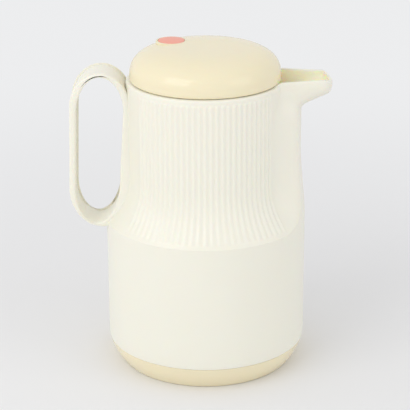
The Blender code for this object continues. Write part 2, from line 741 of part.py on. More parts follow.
def handle_mesh():
    """The strap ring: a flat outline with its opening, extruded and rounded on its edges."""
    curve = bpy.data.curves.new("handle_outline", "CURVE")
    curve.dimensions = "2D"
    curve.fill_mode = "BOTH"
    curve.resolution_u = 5
    curve.extrude = HANDLE_WIDTH / 2 - HANDLE_EDGE
    curve.bevel_depth = HANDLE_EDGE
    curve.bevel_resolution = 0
    curve.offset = -HANDLE_EDGE
    side_low, side_high = (handle_height(share) for share in HANDLE_SIDE_SHARES)
    outer = [
        (-HANDLE_REACH, side_low),
        (-HANDLE_REACH + HANDLE_LEAN, side_high),
        (-HANDLE_HEAD_RUN, side_high),
        (-HANDLE_BURIED_RUN, side_low),
    ]
    inner_low, inner_high = (handle_height(share) for share in OPENING_SIDE_SHARES)
    shell_low, shell_high = (handle_height(share) for share in OPENING_SHELL_SHARES)
    opening = [
        (-HANDLE_REACH + HANDLE_STRAP, inner_low),
        (-HANDLE_REACH + HANDLE_STRAP + HANDLE_LEAN, inner_high),
        (-OPENING_HEAD_RUN, shell_high),
        (-OPENING_HEAD_RUN - OPENING_SHELL_LEAN, shell_low),
    ]
    run = handle_run(HANDLE_PEAK_SHARE)
    ring_loop(curve, outer, (-run, HANDLE_TOP), (-run, HANDLE_BOTTOM))
    peak = (-handle_run(OPENING_PEAK_SHARE), HANDLE_TOP - HANDLE_STRAP_TOP)
    foot = (-handle_run(OPENING_FOOT_SHARE), HANDLE_BOTTOM + HANDLE_STRAP_TOP)
    ring_loop(curve, opening, peak, foot)
    outline = bpy.data.objects.new("handle_outline", curve)
    bpy.context.scene.collection.objects.link(outline)
    graph = bpy.context.evaluated_depsgraph_get()
    mesh = bpy.data.meshes.new_from_object(outline.evaluated_get(graph))
    bpy.data.objects.remove(outline, do_unlink=True)
    build = bmesh.new()
    build.from_mesh(mesh)
    bmesh.ops.remove_doubles(build, verts=build.verts, dist=SEAT_GAP / 10)
    bmesh.ops.recalc_face_normals(build, faces=build.faces)
    build.to_mesh(mesh)
    build.free()
    return mesh


def make_outer_shell(shop):
    """Drum, reeded upper body, fin, spout and handle, moulded in one."""
    shell = shop.piece("outer_shell", skin_mesh(), "shell", shop.jug_axis)
    handle = shop.helper("handle", handle_mesh(), turn=(math.pi / 2, 0, 0))
    boolean(shell, handle, "UNION")
    boolean(shell, shop.helper("spout", spout_mesh()), "UNION")
    boolean(shell, turned_helper(shop, "shell_hollow", shell_hollow_outline(), FINE_STEPS), "DIFFERENCE")
    boolean(shell, shop.helper("channel", channel_mesh()), "DIFFERENCE")
    return shell


# Base


def base_side(share):
    """The base cap's outside from the seam down to the foot, slightly bulged."""
    radius = SEAM_RADIUS + (BASE_FOOT_RADIUS - SEAM_RADIUS) * share
    bulge = BASE_BULGE * math.sin(math.pi * share)
    return radius + bulge, BASE_HEIGHT + (BASE_FOOT_EDGE - BASE_HEIGHT) * share


def make_base_cap(shop):
    """Screwed-on base: a dish with a foot ring and a spigot that fits inside the drum."""
    spigot_outer = CAVITY_RADIUS - SEAT_GAP
    spigot_inner = spigot_outer - BASE_SPIGOT_WALL
    foot_outer = BASE_FOOT_RADIUS - BASE_FOOT_EDGE
    foot_inner = foot_outer - BASE_FOOT_WIDTH
    side = curve_points(5, base_side)
    floor_radius = BASE_FOOT_RADIUS - BASE_WALL
    spigot_top = BASE_HEIGHT + BASE_SPIGOT_HEIGHT
    outline = [
        (spigot_outer, spigot_top),
        (spigot_outer, BASE_HEIGHT),
        *side,
        (foot_outer, 0),
        (foot_inner, 0),
        (foot_inner - BASE_HOLLOW_DEPTH, BASE_HOLLOW_DEPTH),
        (0, BASE_HOLLOW_DEPTH),
        (0, BASE_FLOOR_TOP),
        (floor_radius, BASE_FLOOR_TOP),
        (spigot_inner, BASE_HEIGHT),
        (spigot_inner, spigot_top),
    ]
    first = outline.index((0, BASE_FLOOR_TOP))
    return turned(shop, "base_cap", outline[first:] + outline[:first], "cream", shop.jug_axis, FINE_STEPS)


# Flask


def flask_radius(height):
    """Outer radius of the flask above its rounded bottom."""
    shoulder = FLASK_SHOULDER_TOP - FLASK_SHOULDER_START
    share = min(max((height - FLASK_SHOULDER_START) / shoulder, 0.0), 1.0)
    fall = max(math.cos(math.pi / 2 * share), 0.0) ** FLASK_SHOULDER_POWER
    return FLASK_TOP_RADIUS + (FLASK_RADIUS - FLASK_TOP_RADIUS) * fall


def flask_wall(inset):
    """The flask's outline from its neck down to its bottom, moved inwards by an inset."""
    top = FLASK_SHOULDER_TOP
    rows = FLASK_ROWS
    shoulder = curve_points(rows, lambda share: top + (FLASK_SHOULDER_START - top) * share)
    points = [(flask_radius(height) - inset, height - inset * i / (rows - 1))
              for i, height in enumerate(shoulder)]
    for i in range(rows - 1):
        turn = math.pi / 2 * i / (rows - 1)
        radius = (FLASK_RADIUS - inset) * math.cos(turn)
        height = FLASK_WAIST_HEIGHT - (FLASK_DOME_HEIGHT - inset) * math.sin(turn)
        points.append((radius, height))
    return points


def make_glass_flask(shop):
    """Double-walled glass flask: the walls meet at the lip, and the vacuum room opens at the tip."""
    lip = FLASK_LIP_HEIGHT
    top = FLASK_SHOULDER_TOP
    outer_inset = GLASS_WALL
    inner_inset = GLASS_WALL + VACUUM_GAP
    liner_inset = inner_inset + GLASS_WALL
    mouth = FLASK_MOUTH_RADIUS
    edge = GLASS_WALL / 2
    outside = flask_wall(0)
    vacuum_outer = flask_wall(outer_inset)
    vacuum_inner = flask_wall(inner_inset)
    liner = flask_wall(liner_inset)
    room_top = lip - GLASS_WALL
    room_inner = mouth + GLASS_WALL
    room_outer = FLASK_TOP_RADIUS - GLASS_WALL
    tip_bottom = FLASK_BOTTOM_HEIGHT - FLASK_TIP_LENGTH
    bottom = FLASK_BOTTOM_HEIGHT
    keep_in = [(max(r, room_inner), z) for r, z in vacuum_inner[:4]] + vacuum_inner[4:]
    keep_mouth = [(max(r, mouth), z) for r, z in liner[:4]] + liner[4:]
    outline = [
        (0, bottom + liner_inset),
        *keep_mouth[::-1],
        (mouth, top),
        (mouth, lip - edge),
        (mouth + edge, lip),
        (FLASK_TOP_RADIUS - edge, lip),
        (FLASK_TOP_RADIUS, lip - edge),
        *outside,
        (FLASK_TIP_RADIUS, bottom),
        (FLASK_TIP_RADIUS, tip_bottom),
        (FLASK_TIP_BORE_RADIUS, tip_bottom),
        (FLASK_TIP_BORE_RADIUS, bottom + outer_inset),
        *vacuum_outer[::-1],
        (room_outer, top),
        (room_outer, room_top),
        (room_inner, room_top),
        *keep_in,
        (0, bottom + inner_inset),
    ]
    tidy = [point for i, point in enumerate(outline) if i == 0 or point != outline[i - 1]]
    return turned(shop, "glass_flask", tidy, "glass", shop.jug_axis)


def make_glass_spacers(shop):
    """Pads that keep the two glass walls apart near the bottom of the flask."""
    middle = FLASK_RADIUS - GLASS_WALL - VACUUM_GAP / 2
    for i in range(SPACER_COUNT):
        turn = 2 * math.pi * i / SPACER_COUNT
        name = f"glass_spacer_{i + 1}"
        mesh = cylinder_mesh(name, SPACER_RADIUS, VACUUM_GAP - 6 * SEAT_GAP, SPACER_STEPS)
        place = (middle * math.cos(turn), middle * math.sin(turn), SPACER_HEIGHT)
        shop.piece(name, mesh, "foam", shop.jug_axis, place, (0, math.pi / 2, turn))


def make_flask_band(shop):
    """Foam band that centres the flask in the drum."""
    top = BAND_START + BAND_HEIGHT
    outline = ring_outline(FLASK_RADIUS + SEAT_GAP, CAVITY_RADIUS - SEAT_GAP, BAND_START, top)
    return turned(shop, "flask_band", outline, "foam", shop.jug_axis)


def make_shoulder_foam(shop):
    """Foam collar between the flask's shoulder and the drawn-in part of the shell."""
    shoulder = FLASK_SHOULDER_TOP - FLASK_SHOULDER_START
    start, end = (FLASK_SHOULDER_START + shoulder * share for share in SHOULDER_FOAM_SHARES)
    gap = 2 * SEAT_GAP
    inner = [(flask_radius(height) + gap * 2, height) for height in (start, (start + end) / 2, end)]
    corners = [height for _, height in cavity_points() if start < height < end]
    outer = [(cavity_side(height) - gap, height) for height in (start, *corners, end)]
    return turned(shop, "shoulder_foam", outer[::-1] + inner, "foam", shop.jug_axis)


def make_neck_gasket(shop):
    """Rubber ring between the flask's lip and the neck insert."""
    outline = ring_outline(GASKET_INNER_RADIUS, INSERT_RADIUS, GASKET_BOTTOM, GASKET_TOP)
    return turned(shop, "neck_gasket", outline, "rubber", shop.jug_axis)


def make_base_cushion(shop):
    """Rubber cup on the base that presses the flask up against its gasket."""
    seat = []
    for share in (0.0, 0.33, 0.67, 1.0):
        radius = CUSHION_INNER_RADIUS + (CUSHION_OUTER_RADIUS - CUSHION_INNER_RADIUS) * share
        drop = FLASK_DOME_HEIGHT * math.sqrt(1 - (radius / FLASK_RADIUS) ** 2)
        seat.append((radius, FLASK_WAIST_HEIGHT - drop - 2 * SEAT_GAP))
    bottom = BASE_FLOOR_TOP + SEAT_GAP
    outline = [(CUSHION_OUTER_RADIUS, bottom), (CUSHION_INNER_RADIUS, bottom), *seat]
    return turned(shop, "base_cushion", outline, "rubber", shop.jug_axis)


def make_neck_insert(shop):
    """Threaded neck: a deck on the shell's shelf and a tube down to the flask's gasket."""
    lip_inner = INSERT_BORE_RADIUS - INSERT_LIP_WIDTH
    lip_top = INSERT_BOTTOM + INSERT_LIP_THICKNESS
    deck_radius = WELL_RADIUS - SEAT_GAP
    outline = [
        (deck_radius, DECK_TOP),
        (deck_radius, DECK_BOTTOM),
        (INSERT_RADIUS, DECK_BOTTOM),
        (INSERT_RADIUS, INSERT_BOTTOM),
        (lip_inner, INSERT_BOTTOM),
        (lip_inner, lip_top),
        (INSERT_BORE_RADIUS, lip_top),
        (INSERT_BORE_RADIUS, DECK_TOP),
    ]
    return turned(shop, "neck_insert", outline, "cream", shop.jug_axis)


def make_insert_seal(shop):
    """Rubber ring round the insert's tube, in the shelf's bore."""
    bottom = SHELF_HEIGHT - SHELF_THICKNESS
    outline = ring_outline(INSERT_RADIUS + SEAT_GAP, SHELF_BORE_RADIUS - SEAT_GAP, bottom, SHELF_HEIGHT)
    return turned(shop, "insert_seal", outline, "rubber", shop.jug_axis)


# Closure


def dome_outline(inset, count):
    """The lid's dome from its widest line to its middle, moved inwards by an inset."""

    def place(share):
        turn = math.pi / 2 * (1 - share)
        radius = (LID_RADIUS - inset) * math.sin(turn) ** (2 / LID_WIDTH_POWER)
        height = (LID_DOME_HEIGHT - inset) * math.cos(turn) ** (2 / LID_HEIGHT_POWER)
        return max(radius, 0.0), LID_SHOULDER + max(height, 0.0)

    points = curve_points(count, place)
    return [*points[:-1], (0, LID_SHOULDER + LID_DOME_HEIGHT - inset)]


def disc_place():
    return DISC_OFFSET * math.cos(DISC_AZIMUTH), DISC_OFFSET * math.sin(DISC_AZIMUTH)


def cylinder_mesh(name, radius, depth, steps=CYLINDER_STEPS):
    build = bmesh.new()
    bmesh.ops.create_cone(build, cap_ends=True, segments=steps, radius1=radius, radius2=radius, depth=depth)
    mesh = bpy.data.meshes.new(name)
    build.to_mesh(mesh)
    build.free()
    return mesh


def make_lid_dome(shop):
    """Domed lid with a low boss that holds the disc."""
    outside = dome_outline(0, 10)
    inside = dome_outline(LID_WALL, 5)
    edge = LID_RADIUS - LID_EDGE_INSET
    rounded = [(LID_RADIUS - LID_EDGE_INSET / 4, LID_BOTTOM + LID_EDGE_HEIGHT / 3)]
    outline = [
        (0, LID_TOP),
        *outside[::-1][1:],
        *rounded,
        (edge, LID_BOTTOM),
        (LID_INNER_RADIUS, LID_BOTTOM),
        *[(min(radius, LID_INNER_RADIUS), height) for radius, height in inside],
    ]
    dome = turned(shop, "lid_dome", outline, "cream", shop.closure_axis, FINE_STEPS)
    x, y = disc_place()
    boss_top = LID_TOP + BOSS_PROUD
    boss_depth = LID_WALL + DISC_THICKNESS
    boss = cylinder_mesh("disc_boss", DISC_RADIUS + SEAT_GAP + BOSS_RIM, boss_depth)
    boolean(dome, shop.helper("disc_boss", boss, (x, y, boss_top - boss_depth / 2)), "UNION")
    pocket_bottom = LID_TOP + DISC_PROUD - DISC_THICKNESS - SEAT_GAP
    pocket = cylinder_mesh("disc_pocket", DISC_RADIUS + SEAT_GAP, OVERRUN)
    boolean(dome, shop.helper("disc_pocket", pocket, (x, y, pocket_bottom + OVERRUN / 2)), "DIFFERENCE")
    return dome


def make_index_disc(shop):
    """Plain coloured disc let into the lid."""
    x, y = disc_place()
    mesh = cylinder_mesh("index_disc", DISC_RADIUS, DISC_THICKNESS)
    place = (x, y, LID_TOP + DISC_PROUD - DISC_THICKNESS / 2)
    disc = shop.piece("index_disc", mesh, "coral", shop.closure_axis, place)
    rounding = disc.modifiers.new("edge", "BEVEL")
    rounding.width = DISC_THICKNESS / 6
    rounding.segments = 1
    return disc


def make_stopper_body(shop):
    """Threaded cup that hangs from a flange, with a skirt that enters the well."""
    flange_radius = LID_INNER_RADIUS - SEAT_GAP
    skirt_inner = SKIRT_RADIUS - SKIRT_WALL
    skirt_bottom = LID_BOTTOM - SKIRT_DEPTH
    seal_top = skirt_bottom + DRIP_SEAL_OFFSET + DRIP_SEAL_HEIGHT
    seal_bottom = skirt_bottom + DRIP_SEAL_OFFSET
    groove = SKIRT_RADIUS - DRIP_SEAL_SINK
    cup_inner = STOPPER_RADIUS - STOPPER_WALL
    outline = [
        (flange_radius, FLANGE_TOP),
        (flange_radius, LID_BOTTOM),
        (SKIRT_RADIUS, LID_BOTTOM),
        (SKIRT_RADIUS, seal_top + SEAT_GAP),
        (groove, seal_top + SEAT_GAP),
        (groove, seal_bottom - SEAT_GAP),
        (SKIRT_RADIUS, seal_bottom - SEAT_GAP),
        (SKIRT_RADIUS, skirt_bottom),
        (skirt_inner, skirt_bottom),
        (skirt_inner, LID_BOTTOM),
        (STOPPER_RADIUS, LID_BOTTOM),
        (STOPPER_RADIUS, CAP_BOTTOM),
        (cup_inner, CAP_BOTTOM),
        (cup_inner, FLANGE_TOP),
    ]
    return turned(shop, "stopper_body", outline, "cream", shop.closure_axis)


def make_drip_seal(shop):
    """Soft ring in the skirt's groove that wipes the well."""
    bottom = LID_BOTTOM - SKIRT_DEPTH + DRIP_SEAL_OFFSET
    inner = SKIRT_RADIUS - DRIP_SEAL_SINK + SEAT_GAP
    outer = WELL_RADIUS - SEAT_GAP
    outline = ring_outline(inner, outer, bottom, bottom + DRIP_SEAL_HEIGHT)
    return turned(shop, "drip_seal", outline, "silicone", shop.closure_axis)


def make_stopper_cap(shop):
    """Plate that closes the stopper's cup from below, with a bore for the seal's pin."""
    outer = STOPPER_RADIUS - STOPPER_WALL - SEAT_GAP
    outline = ring_outline(PIN_RADIUS + PIN_RUNNING_GAP, outer, CAP_BOTTOM, CAP_TOP)
    return turned(shop, "stopper_cap", outline, "cream", shop.closure_axis)


def make_stopper_foam(shop):
    """Insulating plug inside the stopper."""
    outline = disc_outline(STOPPER_RADIUS - STOPPER_WALL - SEAT_GAP, PIN_HEAD_TOP + SEAT_GAP, FLANGE_TOP)
    return turned(shop, "stopper_foam", outline, "foam", shop.closure_axis)


def make_lid_foam(shop):
    """Insulating filling under the dome."""
    inset = LID_WALL + LID_FOAM_TRIM
    dome = [(radius, height) for radius, height in dome_outline(inset, 6) if height > FLANGE_TOP + SEAT_GAP]
    bottom = FLANGE_TOP + SEAT_GAP
    boss_clear = LID_TOP - LID_WALL - DISC_THICKNESS - SEAT_GAP
    flat = [(radius, min(height, boss_clear)) for radius, height in dome]
    outline = [(0, bottom), (flat[0][0], bottom), *flat]
    return turned(shop, "lid_foam", outline, "foam", shop.closure_axis)


# Swivelling seal


def make_seal_ring(shop):
    """Silicone ring that closes on the flask's gasket."""
    outline = ring_outline(SEAL_HUB_RADIUS + SEAT_GAP, SEAL_RING_RADIUS, SEAL_RING_BOTTOM, SEAL_RING_TOP)
    return turned(shop, "seal_ring", outline, "silicone", shop.seal_axis)


def make_seal_plate(shop):
    """Plate that carries the seal ring and swivels on a pin through the stopper's cap."""
    rest = SEAL_RING_BOTTOM - SEAT_GAP
    bottom = rest - SEAL_PLATE_THICKNESS
    outline = [
        (0, PIN_HEAD_TOP - SEAT_GAP),
        (PIN_RADIUS, PIN_HEAD_TOP - SEAT_GAP),
        (PIN_RADIUS, SEAL_RING_TOP),
        (SEAL_HUB_RADIUS, SEAL_RING_TOP),
        (SEAL_HUB_RADIUS, rest),
        (SEAL_PLATE_RADIUS, rest),
        (SEAL_PLATE_RADIUS, bottom),
        (0, bottom),
    ]
    return turned(shop, "seal_plate", outline, "cream", shop.seal_axis)


def make_pin_clip(shop):
    """Clip that holds the seal's pin above the stopper's cap."""
    outline = ring_outline(PIN_RADIUS + SEAT_GAP, PIN_HEAD_RADIUS, PIN_HEAD_BOTTOM, PIN_HEAD_TOP)
    return turned(shop, "pin_clip", outline, "silicone", shop.seal_axis)


def main():
    shop = Workshop()
    make_outer_shell(shop)
    make_base_cap(shop)
    make_base_cushion(shop)
    make_glass_flask(shop)
    make_glass_spacers(shop)
    make_flask_band(shop)
    make_shoulder_foam(shop)
    make_neck_gasket(shop)
    make_neck_insert(shop)
    make_insert_seal(shop)
    make_lid_dome(shop)
    make_index_disc(shop)
    make_lid_foam(shop)
    make_stopper_body(shop)
    make_drip_seal(shop)
    make_stopper_cap(shop)
    make_stopper_foam(shop)
    make_seal_ring(shop)
    make_seal_plate(shop)
    make_pin_clip(shop)


main()
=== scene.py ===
"""The insulated jug dressed for its picture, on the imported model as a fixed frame.

Lengths are metres. The jug's own axis is at AXIS_X, the spout points to +X and the camera looks along +Y.
Azimuths start at the side that faces the camera and reach a quarter turn at the spout.
"""

import json
import math

import bmesh
import bpy
import numpy as np
from mathutils import Matrix, Vector


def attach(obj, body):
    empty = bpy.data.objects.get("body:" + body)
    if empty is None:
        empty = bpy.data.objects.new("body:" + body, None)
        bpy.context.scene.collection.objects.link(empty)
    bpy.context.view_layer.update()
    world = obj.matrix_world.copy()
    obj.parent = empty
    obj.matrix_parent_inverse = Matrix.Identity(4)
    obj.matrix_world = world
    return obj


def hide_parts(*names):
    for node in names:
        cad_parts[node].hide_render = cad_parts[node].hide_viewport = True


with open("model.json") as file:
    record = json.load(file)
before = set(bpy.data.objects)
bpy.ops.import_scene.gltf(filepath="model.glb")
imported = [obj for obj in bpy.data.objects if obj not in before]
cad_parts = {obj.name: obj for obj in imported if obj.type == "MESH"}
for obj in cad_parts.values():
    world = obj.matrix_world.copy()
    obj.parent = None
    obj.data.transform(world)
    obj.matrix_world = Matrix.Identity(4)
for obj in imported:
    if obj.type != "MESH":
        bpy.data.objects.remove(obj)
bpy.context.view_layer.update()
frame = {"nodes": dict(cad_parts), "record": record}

AXIS_X = 0.00375
QUARTER = math.pi / 2

# Shell
BODY_RADIUS = 0.0700
NECK_RADIUS = 0.0550
RIM_HEIGHT = 0.2060
SHELL_WALL = 0.0027
SEAM_HEIGHT = 0.0173
SEAM_INSET = 0.0004
CORNER_HEIGHT = 0.0060
LEDGE_HEIGHT = 0.1060
FLARE_HEIGHT = 0.0380
FLARE_POWER = 2.2
COLLAR_INSET = 0.0010
COLLAR_EDGE = 0.0014

# Reeding
RIB_COUNT = 26
RIB_PITCH = math.radians(4.1)
RIB_HEIGHT = 0.0007
RIB_FOOT = 0.0016
RIB_HEAD = 0.0026
RIB_RUN_OUT = 0.0022

# Fin
FIN_TOP_RADIUS = 0.0665
FIN_DRAFT_HEIGHT = 0.0520
FIN_HALF_ANGLE = math.radians(17)
FIN_TOP_HALF_ANGLE = math.radians(14.5)
FIN_NARROWING = 0.0240
FIN_SETBACK = 0.0045
FLANK_WIDTH = 0.0240
FLANK_TOP_WIDTH = 0.0112
FLANK_POWER = 2.1
FIN_ROUNDING = 0.0030
POCKET_WIDTH = 0.0300
POCKET_HEIGHT = 0.0170

# Spout
SPOUT_REACH = 0.0875
SPOUT_HALF_WIDTH = 0.0147
SPOUT_ROOT_HALF_WIDTH = 0.0207
SPOUT_ROOT_START = 0.0495
SPOUT_ROOT_RUN = 0.0300
SPOUT_ROOT_POWER = 1.3
SPOUT_RISE_START = 0.0455
SPOUT_RISE_RUN = 0.0070
SPOUT_NOSE = 0.0075
SPOUT_NOSE_POWER = 2.2
SPOUT_RIM_HEIGHT = 0.2079
SPOUT_TIP_DIP = 0.0030
SPOUT_TIP_DEPTH = 0.0104
SPOUT_SLOPE = 0.45
SPOUT_SECTION_POWER = 2.6
SPOUT_BLEND = 0.0100
SPOUT_ANGLE = math.radians(36)
SPOUT_LOWEST = 0.1720
SPOUT_WALL = 0.0026
CHANNEL_ROOT_DEPTH = 0.0190
CHANNEL_FLOOR_POWER = 1.25
WELL_RADIUS = 0.0495
SHELF_HEIGHT = 0.1800
SHELF_THICKNESS = 0.0030
SHELF_BORE_RADIUS = 0.0365

# Handle
HANDLE_REACH = 0.0950
HANDLE_LEAN = 0.0016
HANDLE_TOP = 0.2135
HANDLE_BOTTOM = 0.1023
HANDLE_SIDE_START = 0.1300
HANDLE_SIDE_END = 0.1890
HANDLE_PEAK_RUN = 0.0720
HANDLE_HEAD_RUN = 0.0515
HANDLE_BURIED_RUN = 0.0450
HANDLE_WIDTH = 0.0300
HANDLE_EDGE = 0.0014
HANDLE_STRAP = 0.0045
HANDLE_STRAP_TOP = 0.0029
OPENING_SIDE_START = 0.1290
OPENING_SIDE_END = 0.1830
OPENING_PEAK_RUN = 0.0725
OPENING_HEAD_RUN = 0.0564
OPENING_SHELL_START = 0.1390
OPENING_SHELL_END = 0.1870
OPENING_SHELL_LEAN = 0.0030
OPENING_FOOT_RUN = 0.0765
BURIED_DEPTH = 0.0013
ROUND_ARM = 0.5523

# Base
SEAT_GAP = 0.0003
BASE_HEIGHT = 0.0170
BASE_FOOT_RADIUS = 0.0610
BASE_BULGE = 0.0011
BASE_FOOT_EDGE = 0.0008
BASE_FOOT_WIDTH = 0.0075
BASE_HOLLOW_DEPTH = 0.0015
BASE_FLOOR = 0.0026
BASE_WALL = 0.0028
BASE_SPIGOT_HEIGHT = 0.0120
BASE_SPIGOT_WALL = 0.0024
BASE_FLOOR_TOP = BASE_HOLLOW_DEPTH + BASE_FLOOR
SEAM_RADIUS = BODY_RADIUS - SEAM_INSET

# Lid and disc
LID_RADIUS = 0.0524
LID_EDGE_INSET = 0.0007
LID_EDGE_HEIGHT = 0.0014
LID_DOME_HEIGHT = 0.0212
LID_WIDTH_POWER = 3.85
LID_HEIGHT_POWER = 2.7
LID_WALL = 0.0024
LID_GAP = 0.0004
LID_BOTTOM = RIM_HEIGHT + LID_GAP
LID_SHOULDER = LID_BOTTOM + LID_EDGE_HEIGHT
LID_TOP = LID_SHOULDER + LID_DOME_HEIGHT
DISC_RADIUS = 0.0092
DISC_THICKNESS = 0.0016
DISC_PROUD = 0.0003
DISC_EDGE = 0.0004
DISC_OFFSET = 0.0278
DISC_AZIMUTH = math.radians(147.5)
DISC_X = DISC_OFFSET * math.cos(DISC_AZIMUTH)
DISC_Y = DISC_OFFSET * math.sin(DISC_AZIMUTH)
BOSS_RIM = 0.0013
BOSS_PROUD = 0.0001
BOSS_EDGE = 0.0005

# How finely the pieces are made
TINY = 0.00001
SEARCH_STEPS = 80
SEARCH_HALVINGS = 16
RIB_COLUMNS = 8
SPOUT_SIDE_END = math.radians(15.6)
SPOUT_SIDE_START = math.radians(9.6)
FLANK_COLUMNS = 28
SIDE_COLUMNS = 26
FACE_COLUMNS = 13
HANDLE_COLUMNS = 36
TURN_STEPS = 160
WARP_START = 0.1900
RIM_ROUNDING = 0.0007
RIM_ROUNDING_SHARES = ((0.03, 0.55), (0.10, 0.15), (0.22, 0.0), (0.78, 0.0), (0.90, 0.15), (0.97, 0.55))
LEAST_BLEND_SHARE = 0.15
CORNER_ROWS = 7
CORNER_ROW_POWER = 1.5
DRUM_ROWS = 8
FLARE_ROWS = 46
FLARE_ROW_POWER = 1.25
PLAIN_ROWS = 8
LOW_SPOUT_ROWS = 27
HIGH_SPOUT_ROWS = 24
INNER_ROWS = 40
CAVITY_ROWS = 9
LOOP_SAMPLES = 40
LOOP_COUNT = 180
EDGE_POINTS = 5
ROUNDING_POINTS = 3
BASE_ROWS = 14
DOME_ROWS = 40
DOME_INNER_ROWS = 20
DISC_STEPS = 96
FLOOR_STEPS = 96
PIECE_CREASE = math.radians(32)
SHELL_CREASE = math.radians(40)
STRAIGHT_ANGLE = math.radians(160)
LONGEST_ROUNDING_SHARE = 0.45
LID_EDGE_SHARES = (0.25, 1 / 3)
FIN_TOP_ROUNDING_FACTOR = 3
TIP_DIP_POWER = 1.5
RIB_WAVE_POWER = 0.8
ANGLE_SLACK = 1e-9

# Materials
CLOUD_NOISE = {"in_Scale": 22.0, "in_Detail": 4.0, "in_Roughness": 0.55}
FINE_NOISE = {"in_Scale": 420.0, "in_Detail": 2.0, "in_Roughness": 0.5}
SLOW_NOISE = {"in_Scale": 30.0, "in_Detail": 1.0, "in_Roughness": 0.4}
NOISE_LOW = 0.3
NOISE_HIGH = 0.7
GLOSS_SPREAD = 0.03
RIPPLE_STRENGTH = 0.03
RIPPLE_DISTANCE = 0.0010
GRAIN_DISTANCE = 0.0002
GLOW_RADIUS_SHARES = (1.0, 0.6, 0.3)
PLAIN_GLOW_REACH = 0.004
INNER_GLOW_REACH = 0.010
MATERIALS = {
    "shell_plastic": {
        "colour": (0.920, 0.897, 0.785),
        "shade": (0.913, 0.889, 0.776),
        "roughness": 0.33,
        "glow": 0.12,
    },
    "cream_plastic": {
        "colour": (0.925, 0.832, 0.595),
        "shade": (0.918, 0.823, 0.585),
        "roughness": 0.17,
        "glow": 0.12,
    },
    "inner_plastic": {
        "colour": (0.970, 0.892, 0.735),
        "shade": (0.963, 0.883, 0.724),
        "roughness": 0.33,
        "glow": 1.0,
        "reach": INNER_GLOW_REACH,
    },
    "coral_plastic": {
        "colour": (0.965, 0.385, 0.285),
        "shade": (0.955, 0.370, 0.272),
        "roughness": 0.34,
    },
    "silvered_glass": {
        "colour": (0.84, 0.84, 0.86),
        "shade": (0.78, 0.78, 0.80),
        "roughness": 0.10,
        "metallic": 1.0,
    },
    "grey_rubber": {
        "colour": (0.44, 0.44, 0.43),
        "shade": (0.38, 0.38, 0.37),
        "roughness": 0.72,
        "grain": 0.08,
    },
    "clear_silicone": {
        "colour": (0.82, 0.80, 0.74),
        "shade": (0.77, 0.75, 0.69),
        "roughness": 0.45,
        "glow": 0.25,
    },
    "white_foam": {
        "colour": (0.90, 0.90, 0.88),
        "shade": (0.80, 0.80, 0.78),
        "roughness": 0.90,
        "grain": 0.30,
    },
}

# Picture
PICTURE_PIXELS = 410
FOCAL_PIXELS = 1695.0
SHIFT_PIXELS = 0.78
SENSOR_WIDTH = 36.0
CAMERA_DISTANCE = 1.2
CAMERA_TILT = math.radians(20.47)
CAMERA_ROLL = math.radians(-0.22)
TARGET_HEIGHT = 0.1128
FLOOR_RADIUS = 6.0
FLOOR_COLOUR = (0.86, 0.86, 0.865)
BACKGROUND_COLOUR = (0.845, 0.850, 0.860)
FADE_START = 0.10
FADE_END = 0.75
WORLD_LOW = (1.0, 1.0, 1.0)
WORLD_HIGH = (0.90, 0.90, 0.91)
WORLD_LEFT = 0.92
WORLD_RIGHT = 0.80
WORLD_TOP = 0.9
FLOOR_ROUGHNESS = 0.9
LAMP_TARGET = (0, 0, 0.12)
KEY_PLACE = (-0.79, -0.77, 0.86)
KEY_SIZE = (0.90, 0.80)
KEY_POWER = 3.8
FILL_PLACE = (1.01, -0.63, 0.70)
FILL_SIZE = (0.75, 0.75)
FILL_POWER = 1.4


def smooth(share):
    """0 to 1 with level ends, for numbers and arrays."""
    share = np.clip(share, 0.0, 1.0)
    return share * share * (3 - 2 * share)


def soft_max(a, b, width):
    """The larger of two, with a rounded change from one to the other."""
    near = np.maximum(width - np.abs(a - b), 0.0) / width
    return np.maximum(a, b) + near**3 * width / 6


def wrapped(angle):
    return (angle + np.pi) % (2 * np.pi) - np.pi


# Shell surface: every function takes arrays of azimuth and height


def fin_radius(height):
    draft = (BODY_RADIUS - FIN_TOP_RADIUS) * smooth((height - LEDGE_HEIGHT) / FIN_DRAFT_HEIGHT)
    return BODY_RADIUS - draft - FIN_SETBACK * towards_spout(height)


def towards_spout(height):
    return smooth((height - (RIM_HEIGHT - FIN_NARROWING)) / FIN_NARROWING)


def recess_share(azimuth, height):
    """0 on the drum and on the fin, 1 on the drawn-in upper body."""
    top = towards_spout(height)
    half = FIN_HALF_ANGLE + (FIN_TOP_HALF_ANGLE - FIN_HALF_ANGLE) * top
    width = FLANK_WIDTH + (FLANK_TOP_WIDTH - FLANK_WIDTH) * top
    off_fin = (np.abs(wrapped(azimuth - QUARTER)) - half) * BODY_RADIUS
    corner = np.clip(1 - off_fin / POCKET_WIDTH, 0.0, 1.0)
    ledge = LEDGE_HEIGHT + POCKET_HEIGHT * (1 - np.sqrt(1 - corner**2))
    rounding = FIN_ROUNDING * (1 + (FIN_TOP_ROUNDING_FACTOR - 1) * top)
    eased = np.where(off_fin < rounding, np.maximum(off_fin + rounding, 0.0) ** 2 / (4 * rounding), off_fin)
    eased = np.where(off_fin < -rounding, 0.0, eased)
    across = np.clip(eased / width, 0.0, 1.0)
    up = np.clip((height - ledge) / FLARE_HEIGHT, 0.0, 1.0)
    return (1 - (1 - across) ** FLANK_POWER) * (1 - (1 - up) ** FLARE_POWER)


